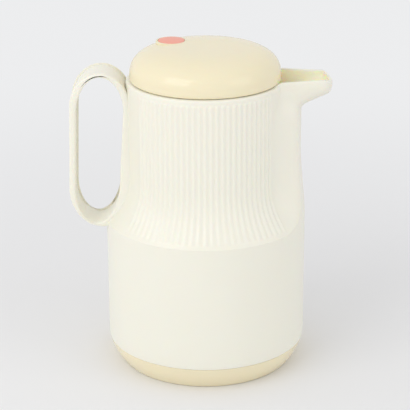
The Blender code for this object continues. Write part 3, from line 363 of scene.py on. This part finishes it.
def rib_share(azimuth, height):
    """0 between the reeds, 1 on a reed's crest."""
    off_front = wrapped(azimuth)
    off_back = wrapped(azimuth - np.pi)
    off = np.where(np.abs(off_front) < np.abs(off_back), off_front, off_back)
    inside = np.abs(off) <= RIB_PITCH * RIB_COUNT / 2 + ANGLE_SLACK
    wave = 0.5 + 0.5 * np.cos(2 * np.pi * off / RIB_PITCH)
    rise = smooth((height - LEDGE_HEIGHT - RIB_FOOT) / RIB_RUN_OUT)
    fall = smooth((RIM_HEIGHT - RIB_HEAD - height) / RIB_RUN_OUT)
    return inside * wave**RIB_WAVE_POWER * rise * fall


def body_radius(azimuth, height):
    outer = fin_radius(height)
    corner = 1 - np.clip((height - SEAM_HEIGHT) / CORNER_HEIGHT, 0.0, 1.0)
    outer = outer - SEAM_INSET * corner**2
    collar = COLLAR_INSET * np.clip(1 - (RIM_HEIGHT - height) / COLLAR_EDGE, 0.0, 1.0) ** 2
    depth = (outer - NECK_RADIUS) * recess_share(azimuth, height)
    return outer - depth - collar + RIB_HEIGHT * rib_share(azimuth, height)


def nose_share(x, reach, nose):
    into = np.clip((x - (reach - nose)) / nose, 0.0, 1.0)
    return (1 - into**SPOUT_NOSE_POWER) ** (1 / SPOUT_NOSE_POWER)


def spout_half_width(x):
    root = np.maximum(1 - (x - SPOUT_ROOT_START) / SPOUT_ROOT_RUN, 0.0) ** SPOUT_ROOT_POWER
    return SPOUT_HALF_WIDTH + (SPOUT_ROOT_HALF_WIDTH - SPOUT_HALF_WIDTH) * root


def spout_rim(x):
    rise = smooth((x - SPOUT_RISE_START) / SPOUT_RISE_RUN)
    into = (x - (SPOUT_REACH - SPOUT_NOSE)) / SPOUT_NOSE
    dip = SPOUT_TIP_DIP * smooth(into) ** TIP_DIP_POWER
    return RIM_HEIGHT + (SPOUT_RIM_HEIGHT - RIM_HEIGHT) * rise - dip


def spout_underside(x):
    straight = SPOUT_RIM_HEIGHT - SPOUT_TIP_DEPTH - SPOUT_SLOPE * (SPOUT_REACH - x)
    into_tip = np.clip(1 - (SPOUT_REACH - x) / SPOUT_TIP_DIP, 0.0, 1.0)
    return straight + SPOUT_TIP_DIP * into_tip**2


def channel_floor(x):
    share = np.clip((x - SPOUT_ROOT_START) / (SPOUT_REACH - SPOUT_ROOT_START), 0.0, 1.0)
    root = RIM_HEIGHT - CHANNEL_ROOT_DEPTH
    lip = SPOUT_RIM_HEIGHT - SPOUT_TIP_DIP - SPOUT_WALL / 2
    return root + (lip - root) * share**CHANNEL_FLOOR_POWER


def beak_inside(radius, direction, height, inset):
    """Whether places lie inside the spout, or inside its channel where the inset is its wall."""
    reach = SPOUT_REACH - inset
    x = radius * np.cos(direction)
    y = np.abs(radius * np.sin(direction))
    half = (spout_half_width(x) - inset) * nose_share(x, reach, SPOUT_NOSE - inset)
    low = channel_floor(x) if inset else spout_underside(x)
    rim = spout_rim(x)
    drop = np.clip((rim - height) / np.maximum(rim - low, SPOUT_WALL), 0.0, 1.0)
    side = (1 - drop**SPOUT_SECTION_POWER) ** (1 / SPOUT_SECTION_POWER)
    return (y <= half * side) & (x <= reach) & (height >= low)


def beak_radius(azimuth, height, inset):
    """How far the spout or its channel reaches from the axis: coarse steps outwards, then halvings."""
    direction = wrapped(azimuth - QUARTER)
    direction, height = np.broadcast_arrays(direction, height)
    start = SHELF_BORE_RADIUS
    step = (SPOUT_REACH - start) / SEARCH_STEPS
    low = np.zeros(direction.shape)
    for i in range(SEARCH_STEPS):
        radius = start + step * i
        low = np.where(beak_inside(radius, direction, height, inset), radius, low)
    high = low + step
    for _ in range(SEARCH_HALVINGS):
        middle = (low + high) / 2
        inside = beak_inside(middle, direction, height, inset)
        low = np.where(inside, middle, low)
        high = np.where(inside, high, middle)
    return np.where(low > start, low, 0.0)


def near_spout(azimuth, height):
    return (np.abs(wrapped(azimuth - QUARTER)) < SPOUT_ANGLE) & (height > SPOUT_LOWEST)


def outer_radius(azimuth, height):
    """The shell's outside: the body, with the spout blended on."""
    azimuth, height = np.broadcast_arrays(azimuth, height)
    radius = body_radius(azimuth, height)
    near = near_spout(azimuth, height)
    spout = beak_radius(azimuth[near], height[near], 0.0)
    blend = SPOUT_BLEND * np.clip((RIM_HEIGHT - height[near]) / SPOUT_NOSE, LEAST_BLEND_SHARE, 1.0)
    radius[near] = np.where(spout > 0, soft_max(radius[near], spout, blend), radius[near])
    return radius


def inner_radius(azimuth, height):
    """The well above the shelf, with the spout's channel."""
    azimuth, height = np.broadcast_arrays(azimuth, height)
    radius = np.full(azimuth.shape, WELL_RADIUS)
    near = near_spout(azimuth, height)
    radius[near] = np.maximum(radius[near], beak_radius(azimuth[near], height[near], SPOUT_WALL))
    return radius


def rim_height(azimuth, radius):
    """Height of the rim at a place on it."""
    x = radius * np.sin(azimuth)
    return np.where(x > SPOUT_RISE_START, spout_rim(x), RIM_HEIGHT)


# Mesh helpers


def ring_place(azimuth, radius, height):
    x = AXIS_X + radius * np.sin(azimuth)
    y = -radius * np.cos(azimuth)
    return np.stack([x, y, np.broadcast_to(height, x.shape)], axis=-1)


def new_piece(name, mesh, body, material, replaced=(), crease=PIECE_CREASE):
    """A finished piece: smooth but for its sharp edges, on its body, with its material."""
    bm = bmesh.new()
    bm.from_mesh(mesh)
    bmesh.ops.recalc_face_normals(bm, faces=bm.faces)
    bm.to_mesh(mesh)
    bm.free()
    mesh.shade_smooth()
    mesh.set_sharp_from_angle(angle=crease)
    piece = bpy.data.objects.new(name, mesh)
    bpy.context.scene.collection.objects.link(piece)
    mesh.materials.append(material)
    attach(piece, body)
    if replaced:
        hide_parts(*replaced)
    return piece


def grid_mesh(name, rows):
    """A closed skin through rings of places, each with the same count; the last ring meets the first."""
    verts = np.concatenate(rows)
    count = len(rows[0])
    faces = []
    for r in range(len(rows)):
        low = r * count
        high = (r + 1) % len(rows) * count
        for i in range(count):
            after = (i + 1) % count
            faces.append((low + i, low + after, high + after, high + i))
    mesh = bpy.data.meshes.new(name)
    mesh.from_pydata(verts.tolist(), [], faces)
    return mesh


def turned_mesh(name, outline, steps=TURN_STEPS):
    """A (radius, height) outline turned round the jug's axis: a closed ring, or one ending on the axis."""
    bm = bmesh.new()
    rings = []
    for radius, height in outline:
        if radius < TINY:
            rings.append([bm.verts.new((AXIS_X, 0, height))])
            continue
        angles = [2 * math.pi * i / steps for i in range(steps)]
        places = [(AXIS_X + radius * math.cos(a), radius * math.sin(a), height) for a in angles]
        rings.append([bm.verts.new(place) for place in places])
    closed = outline[0][0] > TINY or outline[-1][0] > TINY
    for k in range(len(rings) if closed else len(rings) - 1):
        low = rings[k]
        high = rings[(k + 1) % len(rings)]
        for i in range(steps):
            after = (i + 1) % steps
            if len(low) == 1 and len(high) == 1:
                break
            if len(low) == 1:
                bm.faces.new((low[0], high[after], high[i]))
            elif len(high) == 1:
                bm.faces.new((low[i], low[after], high[0]))
            else:
                bm.faces.new((low[i], low[after], high[after], high[i]))
    mesh = bpy.data.meshes.new(name)
    bm.to_mesh(mesh)
    bm.free()
    return mesh


def rounded(outline, edge, points=ROUNDING_POINTS):
    """The same outline with each corner off the axis rounded."""
    smooth_outline = []
    count = len(outline)
    closed = outline[0][0] > TINY or outline[-1][0] > TINY
    for i, corner in enumerate(outline):
        if corner[0] < TINY or (not closed and i in (0, count - 1)):
            smooth_outline.append(corner)
            continue
        here = Vector(corner)
        before = Vector(outline[i - 1]) - here
        after = Vector(outline[(i + 1) % count]) - here
        if before.length < TINY or after.length < TINY or before.angle(after) > STRAIGHT_ANGLE:
            smooth_outline.append(corner)
            continue
        reach = min(edge, before.length * LONGEST_ROUNDING_SHARE, after.length * LONGEST_ROUNDING_SHARE)
        start = here + before.normalized() * reach
        end = here + after.normalized() * reach
        for k in range(points + 1):
            s = k / points
            place = start * (1 - s) ** 2 + here * (2 * s * (1 - s)) + end * s**2
            smooth_outline.append((place.x, place.y))
    return smooth_outline


def even(start, end, count):
    return np.linspace(start, end, count)


# Shell


def shell_azimuths():
    """Azimuths of the shell's columns: fine on the reeds and along the spout's sides."""
    field = RIB_PITCH * RIB_COUNT / 2
    front = even(-field, field, RIB_COUNT * RIB_COLUMNS + 1)
    out_to_side = even(QUARTER - field, SPOUT_SIDE_END, FLANK_COLUMNS + 1)[:-1]
    side = even(SPOUT_SIDE_END, SPOUT_SIDE_START, SIDE_COLUMNS + 1)[:-1]
    face = even(SPOUT_SIDE_START, 0.0, FACE_COLUMNS + 1)
    half = np.concatenate([out_to_side, side, face])[1:]
    spout = np.concatenate([QUARTER - half, QUARTER + half[::-1][1:]])
    back = math.pi + front
    handle = even(math.pi + field, 2 * math.pi - field, HANDLE_COLUMNS + 1)[1:-1]
    return np.concatenate([front, spout, back, handle])


def make_shell(material, inner_material):
    """The moulding from its seam up over the rim, down the well and back to the seam inside the drum."""
    azimuth = shell_azimuths()
    drum = np.concatenate([
        SEAM_HEIGHT + CORNER_HEIGHT * even(0.0, 1.0, CORNER_ROWS) ** CORNER_ROW_POWER,
        even(SEAM_HEIGHT + CORNER_HEIGHT, LEDGE_HEIGHT, DRUM_ROWS)[1:],
    ])
    flare = LEDGE_HEIGHT + FLARE_HEIGHT * even(0.0, 1.0, FLARE_ROWS)[1:] ** FLARE_ROW_POWER
    plain = even(LEDGE_HEIGHT + FLARE_HEIGHT, SPOUT_LOWEST, PLAIN_ROWS)[1:]
    low_spout = even(SPOUT_LOWEST, WARP_START, LOW_SPOUT_ROWS)[1:]
    rows = [ring_place(azimuth, outer_radius(azimuth, z), z) for z in (*drum, *flare, *plain, *low_spout)]
    radius = outer_radius(azimuth, RIM_HEIGHT - COLLAR_EDGE)
    top = rim_height(azimuth, radius)
    edge_top = top - RIM_ROUNDING
    for share in even(0.0, 1.0, HIGH_SPOUT_ROWS)[1:]:
        height = WARP_START + (edge_top - WARP_START) * share
        rows.append(ring_place(azimuth, outer_radius(azimuth, height), height))
    outside = outer_radius(azimuth, edge_top)
    inside = inner_radius(azimuth, edge_top)
    wall = outside - inside
    for across, drop in RIM_ROUNDING_SHARES:
        at = outside - wall * across
        rows.append(ring_place(azimuth, at, rim_height(azimuth, at) - RIM_ROUNDING * drop))
    inner_top = rim_height(azimuth, inside) - RIM_ROUNDING
    first_inner = len(rows)  # From here down to the shelf the faces take the inner material
    for share in even(0.0, 1.0, INNER_ROWS):
        height = inner_top + (SHELF_HEIGHT - inner_top) * share
        rows.append(ring_place(azimuth, inner_radius(azimuth, height), height))
    last_inner = len(rows) - 1
    shelf_bottom = SHELF_HEIGHT - SHELF_THICKNESS
    for inner, height in ((SHELF_BORE_RADIUS, SHELF_HEIGHT), (SHELF_BORE_RADIUS, shelf_bottom)):
        rows.append(ring_place(azimuth, np.full(azimuth.shape, inner), height))
    cavity_neck = NECK_RADIUS - SHELL_WALL
    rows.append(ring_place(azimuth, np.full(azimuth.shape, cavity_neck), shelf_bottom))
    start = LEDGE_HEIGHT - SHELL_WALL
    for share in even(1.0, 0.0, CAVITY_ROWS):
        at = cavity_neck + (BODY_RADIUS - NECK_RADIUS) * (1 - share) ** FLARE_POWER
        rows.append(ring_place(azimuth, np.full(azimuth.shape, at), start + FLARE_HEIGHT * share))
    rows.append(ring_place(azimuth, np.full(azimuth.shape, BODY_RADIUS - SHELL_WALL), SEAM_HEIGHT))
    mesh = grid_mesh("shell", rows)
    shell = new_piece("shell", mesh, "jug", material, ("outer_shell",), SHELL_CREASE)
    mesh.materials.append(inner_material)
    for face in range(first_inner * len(azimuth), last_inner * len(azimuth)):
        mesh.polygons[face].material_index = 1
    return shell


# Handle


def bezier_loop(nodes, peak, foot, count):
    """Places evenly spaced along a loop of upright sides, a round head and a round foot."""
    points = []
    level = (peak, foot)
    for i, start in enumerate(nodes):
        end = nodes[(i + 1) % len(nodes)]
        arm_a = loop_arm(start, end, level)
        arm_b = loop_arm(end, start, level)
        for k in range(LOOP_SAMPLES):
            s = k / LOOP_SAMPLES
            weights = ((1 - s) ** 3, 3 * s * (1 - s) ** 2, 3 * s * s * (1 - s), s**3)
            points.append(sum(w * np.array(c) for w, c in zip(weights, (start, arm_a, arm_b, end))))
    points = np.array(points + points[:1])
    lengths = np.concatenate([[0.0], np.cumsum(np.hypot(*np.diff(points, axis=0).T))])
    wanted = even(0.0, lengths[-1], count + 1)[:-1]
    return np.stack([np.interp(wanted, lengths, points[:, k]) for k in (0, 1)], axis=-1)


def loop_arm(node, other, level):
    run = other[0] - node[0]
    rise = other[1] - node[1]
    if node in level:
        return (node[0] + run * ROUND_ARM, node[1])
    if other in level:
        return (node[0], node[1] + rise * ROUND_ARM)
    return (node[0] + run / 3, node[1] + rise / 3)


def loop_normals(loop):
    along = np.roll(loop, -1, axis=0) - np.roll(loop, 1, axis=0)
    along /= np.linalg.norm(along, axis=1)[:, None]
    return np.stack([along[:, 1], -along[:, 0]], axis=-1)


def make_handle(material):
    """The strap ring: an outer and an inner loop joined by rounded edges, buried in the shell's wall."""
    outer_nodes = [
        (-HANDLE_REACH, HANDLE_SIDE_START),
        (-HANDLE_REACH + HANDLE_LEAN, HANDLE_SIDE_END),
        (-HANDLE_PEAK_RUN, HANDLE_TOP),
        (-HANDLE_HEAD_RUN, HANDLE_SIDE_END),
        (-HANDLE_BURIED_RUN, HANDLE_SIDE_START),
        (-HANDLE_PEAK_RUN, HANDLE_BOTTOM),
    ]
    inner_nodes = [
        (-HANDLE_REACH + HANDLE_STRAP, OPENING_SIDE_START),
        (-HANDLE_REACH + HANDLE_STRAP + HANDLE_LEAN, OPENING_SIDE_END),
        (-OPENING_PEAK_RUN, HANDLE_TOP - HANDLE_STRAP_TOP),
        (-OPENING_HEAD_RUN, OPENING_SHELL_END),
        (-OPENING_HEAD_RUN - OPENING_SHELL_LEAN, OPENING_SHELL_START),
        (-OPENING_FOOT_RUN, HANDLE_BOTTOM + HANDLE_STRAP_TOP),
    ]
    outer = bezier_loop(outer_nodes, outer_nodes[2], outer_nodes[5], LOOP_COUNT)
    inner = bezier_loop(inner_nodes, inner_nodes[2], inner_nodes[5], LOOP_COUNT)
    outward = -loop_normals(outer)
    inward = loop_normals(inner)
    half = HANDLE_WIDTH / 2
    arc = [(1 - math.cos(a), 1 - math.sin(a)) for a in even(0.0, QUARTER, EDGE_POINTS)]
    rings = []
    for side in (-1, 1):
        order = arc if side < 0 else arc[::-1]
        loops = [(outer, outward, order), (inner, inward, order[::-1])]
        if side > 0:
            loops = [(inner, inward, order), (outer, outward, order[::-1])]
        for loop, normal, steps in loops:
            for sink, back in steps:
                place = loop - normal * HANDLE_EDGE * sink
                rings.append((place, side * (half - HANDLE_EDGE * back)))
    rows = []
    for place, y in rings:
        x, z = place[:, 0], place[:, 1]
        azimuth = np.arctan2(x, np.full(x.shape, -y))
        radius = np.hypot(x, y)
        least = np.where(z < RIM_HEIGHT, body_radius(azimuth, z) - BURIED_DEPTH, 0.0)
        radius = np.maximum(radius, least)
        rows.append(ring_place(azimuth, radius, z))
    mesh = grid_mesh("handle", rows)
    return new_piece("handle", mesh, "jug", material, ("outer_shell",))


# Base, lid and disc


def make_base(material):
    def side(share):
        radius = SEAM_RADIUS + (BASE_FOOT_RADIUS - SEAM_RADIUS) * share
        bulge = BASE_BULGE * math.sin(math.pi * share)
        return radius + bulge, BASE_HEIGHT + (BASE_FOOT_EDGE - BASE_HEIGHT) * share

    spigot_outer = BODY_RADIUS - SHELL_WALL - SEAT_GAP
    spigot_inner = spigot_outer - BASE_SPIGOT_WALL
    foot_outer = BASE_FOOT_RADIUS - BASE_FOOT_EDGE
    foot_inner = foot_outer - BASE_FOOT_WIDTH
    spigot_top = BASE_HEIGHT + BASE_SPIGOT_HEIGHT
    outline = [
        (0, BASE_FLOOR_TOP),
        (BASE_FOOT_RADIUS - BASE_WALL, BASE_FLOOR_TOP),
        (spigot_inner, BASE_HEIGHT),
        (spigot_inner, spigot_top),
        (spigot_outer, spigot_top),
        (spigot_outer, BASE_HEIGHT),
        *[side(s) for s in even(0.0, 1.0, BASE_ROWS)],
        (foot_outer, 0),
        (foot_inner, 0),
        (foot_inner - BASE_HOLLOW_DEPTH, BASE_HOLLOW_DEPTH),
        (0, BASE_HOLLOW_DEPTH),
    ]
    mesh = turned_mesh("base", rounded(outline, BASE_FOOT_EDGE))
    return new_piece("base", mesh, "jug", material, ("base_cap",))


def dome_outline(inset, count):
    """The lid's dome from its widest line to its middle, moved inwards by an inset."""
    points = []
    for share in even(0.0, 1.0, count):
        turn = QUARTER * (1 - share)
        radius = (LID_RADIUS - inset) * math.sin(turn) ** (2 / LID_WIDTH_POWER)
        height = (LID_DOME_HEIGHT - inset) * max(math.cos(turn), 0.0) ** (2 / LID_HEIGHT_POWER)
        points.append((radius, LID_SHOULDER + height))
    return [*points[:-1], (0, LID_SHOULDER + LID_DOME_HEIGHT - inset)]


def cylinder(name, radius, bottom, top, edge, steps=DISC_STEPS):
    """A round plate on the lid at the disc's place, as a scratch object or a piece's mesh."""
    outline = [(0, bottom), (radius, bottom), (radius, top), (0, top)]
    mesh = turned_mesh(name, rounded(outline, edge), steps)
    mesh.transform(Matrix.Translation((DISC_X, DISC_Y, 0)))
    return mesh


def cut(mesh, other, operation):
    """Joins another solid to a mesh, or cuts it out."""
    subject = bpy.data.objects.new("subject", mesh)
    tool = bpy.data.objects.new("tool", other)
    for scratch in (subject, tool):
        bpy.context.scene.collection.objects.link(scratch)
    modifier = subject.modifiers.new("boolean", "BOOLEAN")
    modifier.operation = operation
    modifier.solver = "EXACT"
    modifier.object = tool
    graph = bpy.context.evaluated_depsgraph_get()
    result = bpy.data.meshes.new_from_object(subject.evaluated_get(graph))
    for scratch in (subject, tool):
        bpy.data.objects.remove(scratch, do_unlink=True)
    return result


def make_lid(material):
    outside = dome_outline(0, DOME_ROWS)
    inside = dome_outline(LID_WALL, DOME_INNER_ROWS)
    inner = LID_RADIUS - LID_EDGE_INSET - LID_WALL
    inset_share, height_share = LID_EDGE_SHARES
    outline = [
        (0, LID_TOP),
        *outside[::-1][1:],
        (LID_RADIUS - LID_EDGE_INSET * inset_share, LID_BOTTOM + LID_EDGE_HEIGHT * height_share),
        (LID_RADIUS - LID_EDGE_INSET, LID_BOTTOM),
        (inner, LID_BOTTOM),
        *[(min(radius, inner), height) for radius, height in inside],
    ]
    mesh = turned_mesh("lid", outline)
    boss_radius = DISC_RADIUS + SEAT_GAP + BOSS_RIM
    boss = cylinder("boss", boss_radius, LID_TOP - LID_WALL, LID_TOP + BOSS_PROUD, BOSS_EDGE)
    mesh = cut(mesh, boss, "UNION")
    pocket_bottom = LID_TOP + DISC_PROUD - DISC_THICKNESS - SEAT_GAP
    pocket = cylinder("pocket", DISC_RADIUS + SEAT_GAP, pocket_bottom, LID_TOP + LID_WALL, TINY)
    mesh = cut(mesh, pocket, "DIFFERENCE")
    return new_piece("lid", mesh, "closure", material, ("lid_dome",))


def make_disc(material):
    top = LID_TOP + DISC_PROUD
    mesh = cylinder("disc", DISC_RADIUS, top - DISC_THICKNESS, top, DISC_EDGE)
    return new_piece("disc", mesh, "closure", material, ("index_disc",))


# Materials


def add_node(tree, kind, **settings):
    node = tree.nodes.new(kind)
    for name, value in settings.items():
        if name.startswith("in_"):
            node.inputs[name[3:].replace("_", " ")].default_value = value
        else:
            setattr(node, name, value)
    return node


def moulded(name, colour, shade, roughness, grain=0.0, glow=0.0, metallic=0.0, reach=PLAIN_GLOW_REACH):
    """A moulded face: faint cloudiness in the colour, uneven gloss and a slow ripple."""
    material = bpy.data.materials.new(name)
    material.use_nodes = True
    tree = material.node_tree
    shader = tree.nodes["Principled BSDF"]
    place = add_node(tree, "ShaderNodeTexCoord")
    cloud = add_node(tree, "ShaderNodeTexNoise", **CLOUD_NOISE)
    fine = add_node(tree, "ShaderNodeTexNoise", **FINE_NOISE)
    slow = add_node(tree, "ShaderNodeTexNoise", **SLOW_NOISE)
    for noise in (cloud, fine, slow):
        tree.links.new(place.outputs["Object"], noise.inputs["Vector"])
    ramp = add_node(tree, "ShaderNodeValToRGB")
    ramp.color_ramp.elements[0].position = NOISE_LOW
    ramp.color_ramp.elements[1].position = NOISE_HIGH
    ramp.color_ramp.elements[0].color = (*shade, 1.0)
    ramp.color_ramp.elements[1].color = (*colour, 1.0)
    tree.links.new(cloud.outputs["Fac"], ramp.inputs["Fac"])
    tree.links.new(ramp.outputs["Color"], shader.inputs["Base Color"])
    gloss = add_node(tree, "ShaderNodeMapRange")
    gloss.inputs["From Min"].default_value = NOISE_LOW
    gloss.inputs["From Max"].default_value = NOISE_HIGH
    gloss.inputs["To Min"].default_value = roughness - GLOSS_SPREAD
    gloss.inputs["To Max"].default_value = roughness + GLOSS_SPREAD
    tree.links.new(cloud.outputs["Fac"], gloss.inputs["Value"])
    tree.links.new(gloss.outputs["Result"], shader.inputs["Roughness"])
    grain_bump = add_node(tree, "ShaderNodeBump", in_Strength=grain, in_Distance=GRAIN_DISTANCE)
    ripple_bump = add_node(tree, "ShaderNodeBump", in_Strength=RIPPLE_STRENGTH, in_Distance=RIPPLE_DISTANCE)
    tree.links.new(fine.outputs["Fac"], grain_bump.inputs["Height"])
    tree.links.new(slow.outputs["Fac"], ripple_bump.inputs["Height"])
    tree.links.new(grain_bump.outputs["Normal"], ripple_bump.inputs["Normal"])
    tree.links.new(ripple_bump.outputs["Normal"], shader.inputs["Normal"])
    shader.inputs["Metallic"].default_value = metallic
    shader.inputs["Subsurface Weight"].default_value = glow
    shader.inputs["Subsurface Radius"].default_value = GLOW_RADIUS_SHARES
    shader.inputs["Subsurface Scale"].default_value = reach
    return material


materials = {name: moulded(name, **finish) for name, finish in MATERIALS.items()}
for part in frame["record"]["subparts"]:
    node = frame["nodes"][part["node"]]
    node.data.materials.clear()
    node.data.materials.append(materials[part["material_slot"]])

make_shell(materials["shell_plastic"], materials["inner_plastic"])
make_handle(materials["shell_plastic"])
make_base(materials["cream_plastic"])
make_lid(materials["cream_plastic"])
make_disc(materials["coral_plastic"])

# Floor, light and camera


def make_floor():
    """Pale floor that fades into the background away from the jug."""
    bm = bmesh.new()
    bmesh.ops.create_circle(bm, cap_ends=True, segments=FLOOR_STEPS, radius=FLOOR_RADIUS)
    mesh = bpy.data.meshes.new("floor")
    bm.to_mesh(mesh)
    bm.free()
    floor = bpy.data.objects.new("floor", mesh)
    bpy.context.scene.collection.objects.link(floor)
    material = bpy.data.materials.new("floor_card")
    material.use_nodes = True
    tree = material.node_tree
    shader = tree.nodes["Principled BSDF"]
    output = tree.nodes["Material Output"]
    shader.inputs["Base Color"].default_value = (*FLOOR_COLOUR, 1.0)
    shader.inputs["Roughness"].default_value = FLOOR_ROUGHNESS
    shader.inputs["Specular IOR Level"].default_value = 0.0
    place = add_node(tree, "ShaderNodeTexCoord")
    distance = add_node(tree, "ShaderNodeVectorMath", operation="LENGTH")
    tree.links.new(place.outputs["Object"], distance.inputs[0])
    fade = add_node(tree, "ShaderNodeMapRange", interpolation_type="SMOOTHSTEP")
    fade.inputs["From Min"].default_value = FADE_START
    fade.inputs["From Max"].default_value = FADE_END
    tree.links.new(distance.outputs["Value"], fade.inputs["Value"])
    rays = add_node(tree, "ShaderNodeLightPath")
    seen = add_node(tree, "ShaderNodeMath", operation="MULTIPLY")
    tree.links.new(fade.outputs["Result"], seen.inputs[0])
    tree.links.new(rays.outputs["Is Camera Ray"], seen.inputs[1])
    glow = add_node(tree, "ShaderNodeEmission")
    glow.inputs["Color"].default_value = (*BACKGROUND_COLOUR, 1.0)
    mix = add_node(tree, "ShaderNodeMixShader")
    tree.links.new(seen.outputs["Value"], mix.inputs["Fac"])
    tree.links.new(shader.outputs["BSDF"], mix.inputs[1])
    tree.links.new(glow.outputs["Emission"], mix.inputs[2])
    tree.links.new(mix.outputs["Shader"], output.inputs["Surface"])
    mesh.materials.append(material)


def make_world():
    """Even studio light, a little dimmer from above, behind a plain pale background."""
    world = bpy.data.worlds.new("studio")
    bpy.context.scene.world = world
    world.use_nodes = True
    tree = world.node_tree
    output = tree.nodes["World Output"]
    light = tree.nodes["Background"]
    place = add_node(tree, "ShaderNodeTexCoord")
    split = add_node(tree, "ShaderNodeSeparateXYZ")
    tree.links.new(place.outputs["Generated"], split.inputs["Vector"])
    ramp = add_node(tree, "ShaderNodeValToRGB")
    ramp.color_ramp.elements[0].position = 0.0
    ramp.color_ramp.elements[0].color = (*WORLD_LOW, 1.0)
    ramp.color_ramp.elements[1].position = WORLD_TOP
    ramp.color_ramp.elements[1].color = (*WORLD_HIGH, 1.0)
    tree.links.new(split.outputs["Z"], ramp.inputs["Fac"])
    tree.links.new(ramp.outputs["Color"], light.inputs["Color"])
    across = add_node(tree, "ShaderNodeMapRange")
    across.inputs["From Min"].default_value = -1.0
    across.inputs["To Min"].default_value = WORLD_LEFT
    across.inputs["To Max"].default_value = WORLD_RIGHT
    tree.links.new(split.outputs["X"], across.inputs["Value"])
    tree.links.new(across.outputs["Result"], light.inputs["Strength"])
    plain = add_node(tree, "ShaderNodeBackground")
    plain.inputs["Color"].default_value = (*BACKGROUND_COLOUR, 1.0)
    rays = add_node(tree, "ShaderNodeLightPath")
    mix = add_node(tree, "ShaderNodeMixShader")
    tree.links.new(rays.outputs["Is Camera Ray"], mix.inputs["Fac"])
    tree.links.new(light.outputs["Background"], mix.inputs[1])
    tree.links.new(plain.outputs["Background"], mix.inputs[2])
    tree.links.new(mix.outputs["Shader"], output.inputs["Surface"])


def soft_box(name, place, size, power):
    lamp = bpy.data.lights.new(name, "AREA")
    lamp.shape = "RECTANGLE"
    lamp.size, lamp.size_y = size
    lamp.energy = power
    box = bpy.data.objects.new(name, lamp)
    box.location = place
    box.rotation_euler = (Vector(LAMP_TARGET) - Vector(place)).to_track_quat("-Z", "Y").to_euler()
    bpy.context.scene.collection.objects.link(box)


def make_camera():
    forward = Vector((0, math.cos(CAMERA_TILT), -math.sin(CAMERA_TILT)))
    right = Vector((1, 0, 0))
    up = right.cross(forward)
    side = math.cos(CAMERA_ROLL) * right + math.sin(CAMERA_ROLL) * up
    top = math.cos(CAMERA_ROLL) * up - math.sin(CAMERA_ROLL) * right
    data = bpy.data.cameras.new("camera")
    data.sensor_width = SENSOR_WIDTH
    data.lens = SENSOR_WIDTH * FOCAL_PIXELS / PICTURE_PIXELS
    data.shift_x = -SHIFT_PIXELS / PICTURE_PIXELS
    camera = bpy.data.objects.new("camera", data)
    matrix = Matrix((side, top, -forward)).transposed().to_4x4()
    matrix.translation = Vector((AXIS_X, 0, TARGET_HEIGHT)) - forward * CAMERA_DISTANCE
    camera.matrix_world = matrix
    bpy.context.scene.collection.objects.link(camera)
    bpy.context.scene.camera = camera


make_floor()
make_world()
soft_box("key", KEY_PLACE, KEY_SIZE, KEY_POWER)
soft_box("fill", FILL_PLACE, FILL_SIZE, FILL_POWER)
make_camera()
bpy.context.scene.view_settings.view_transform = "Standard"
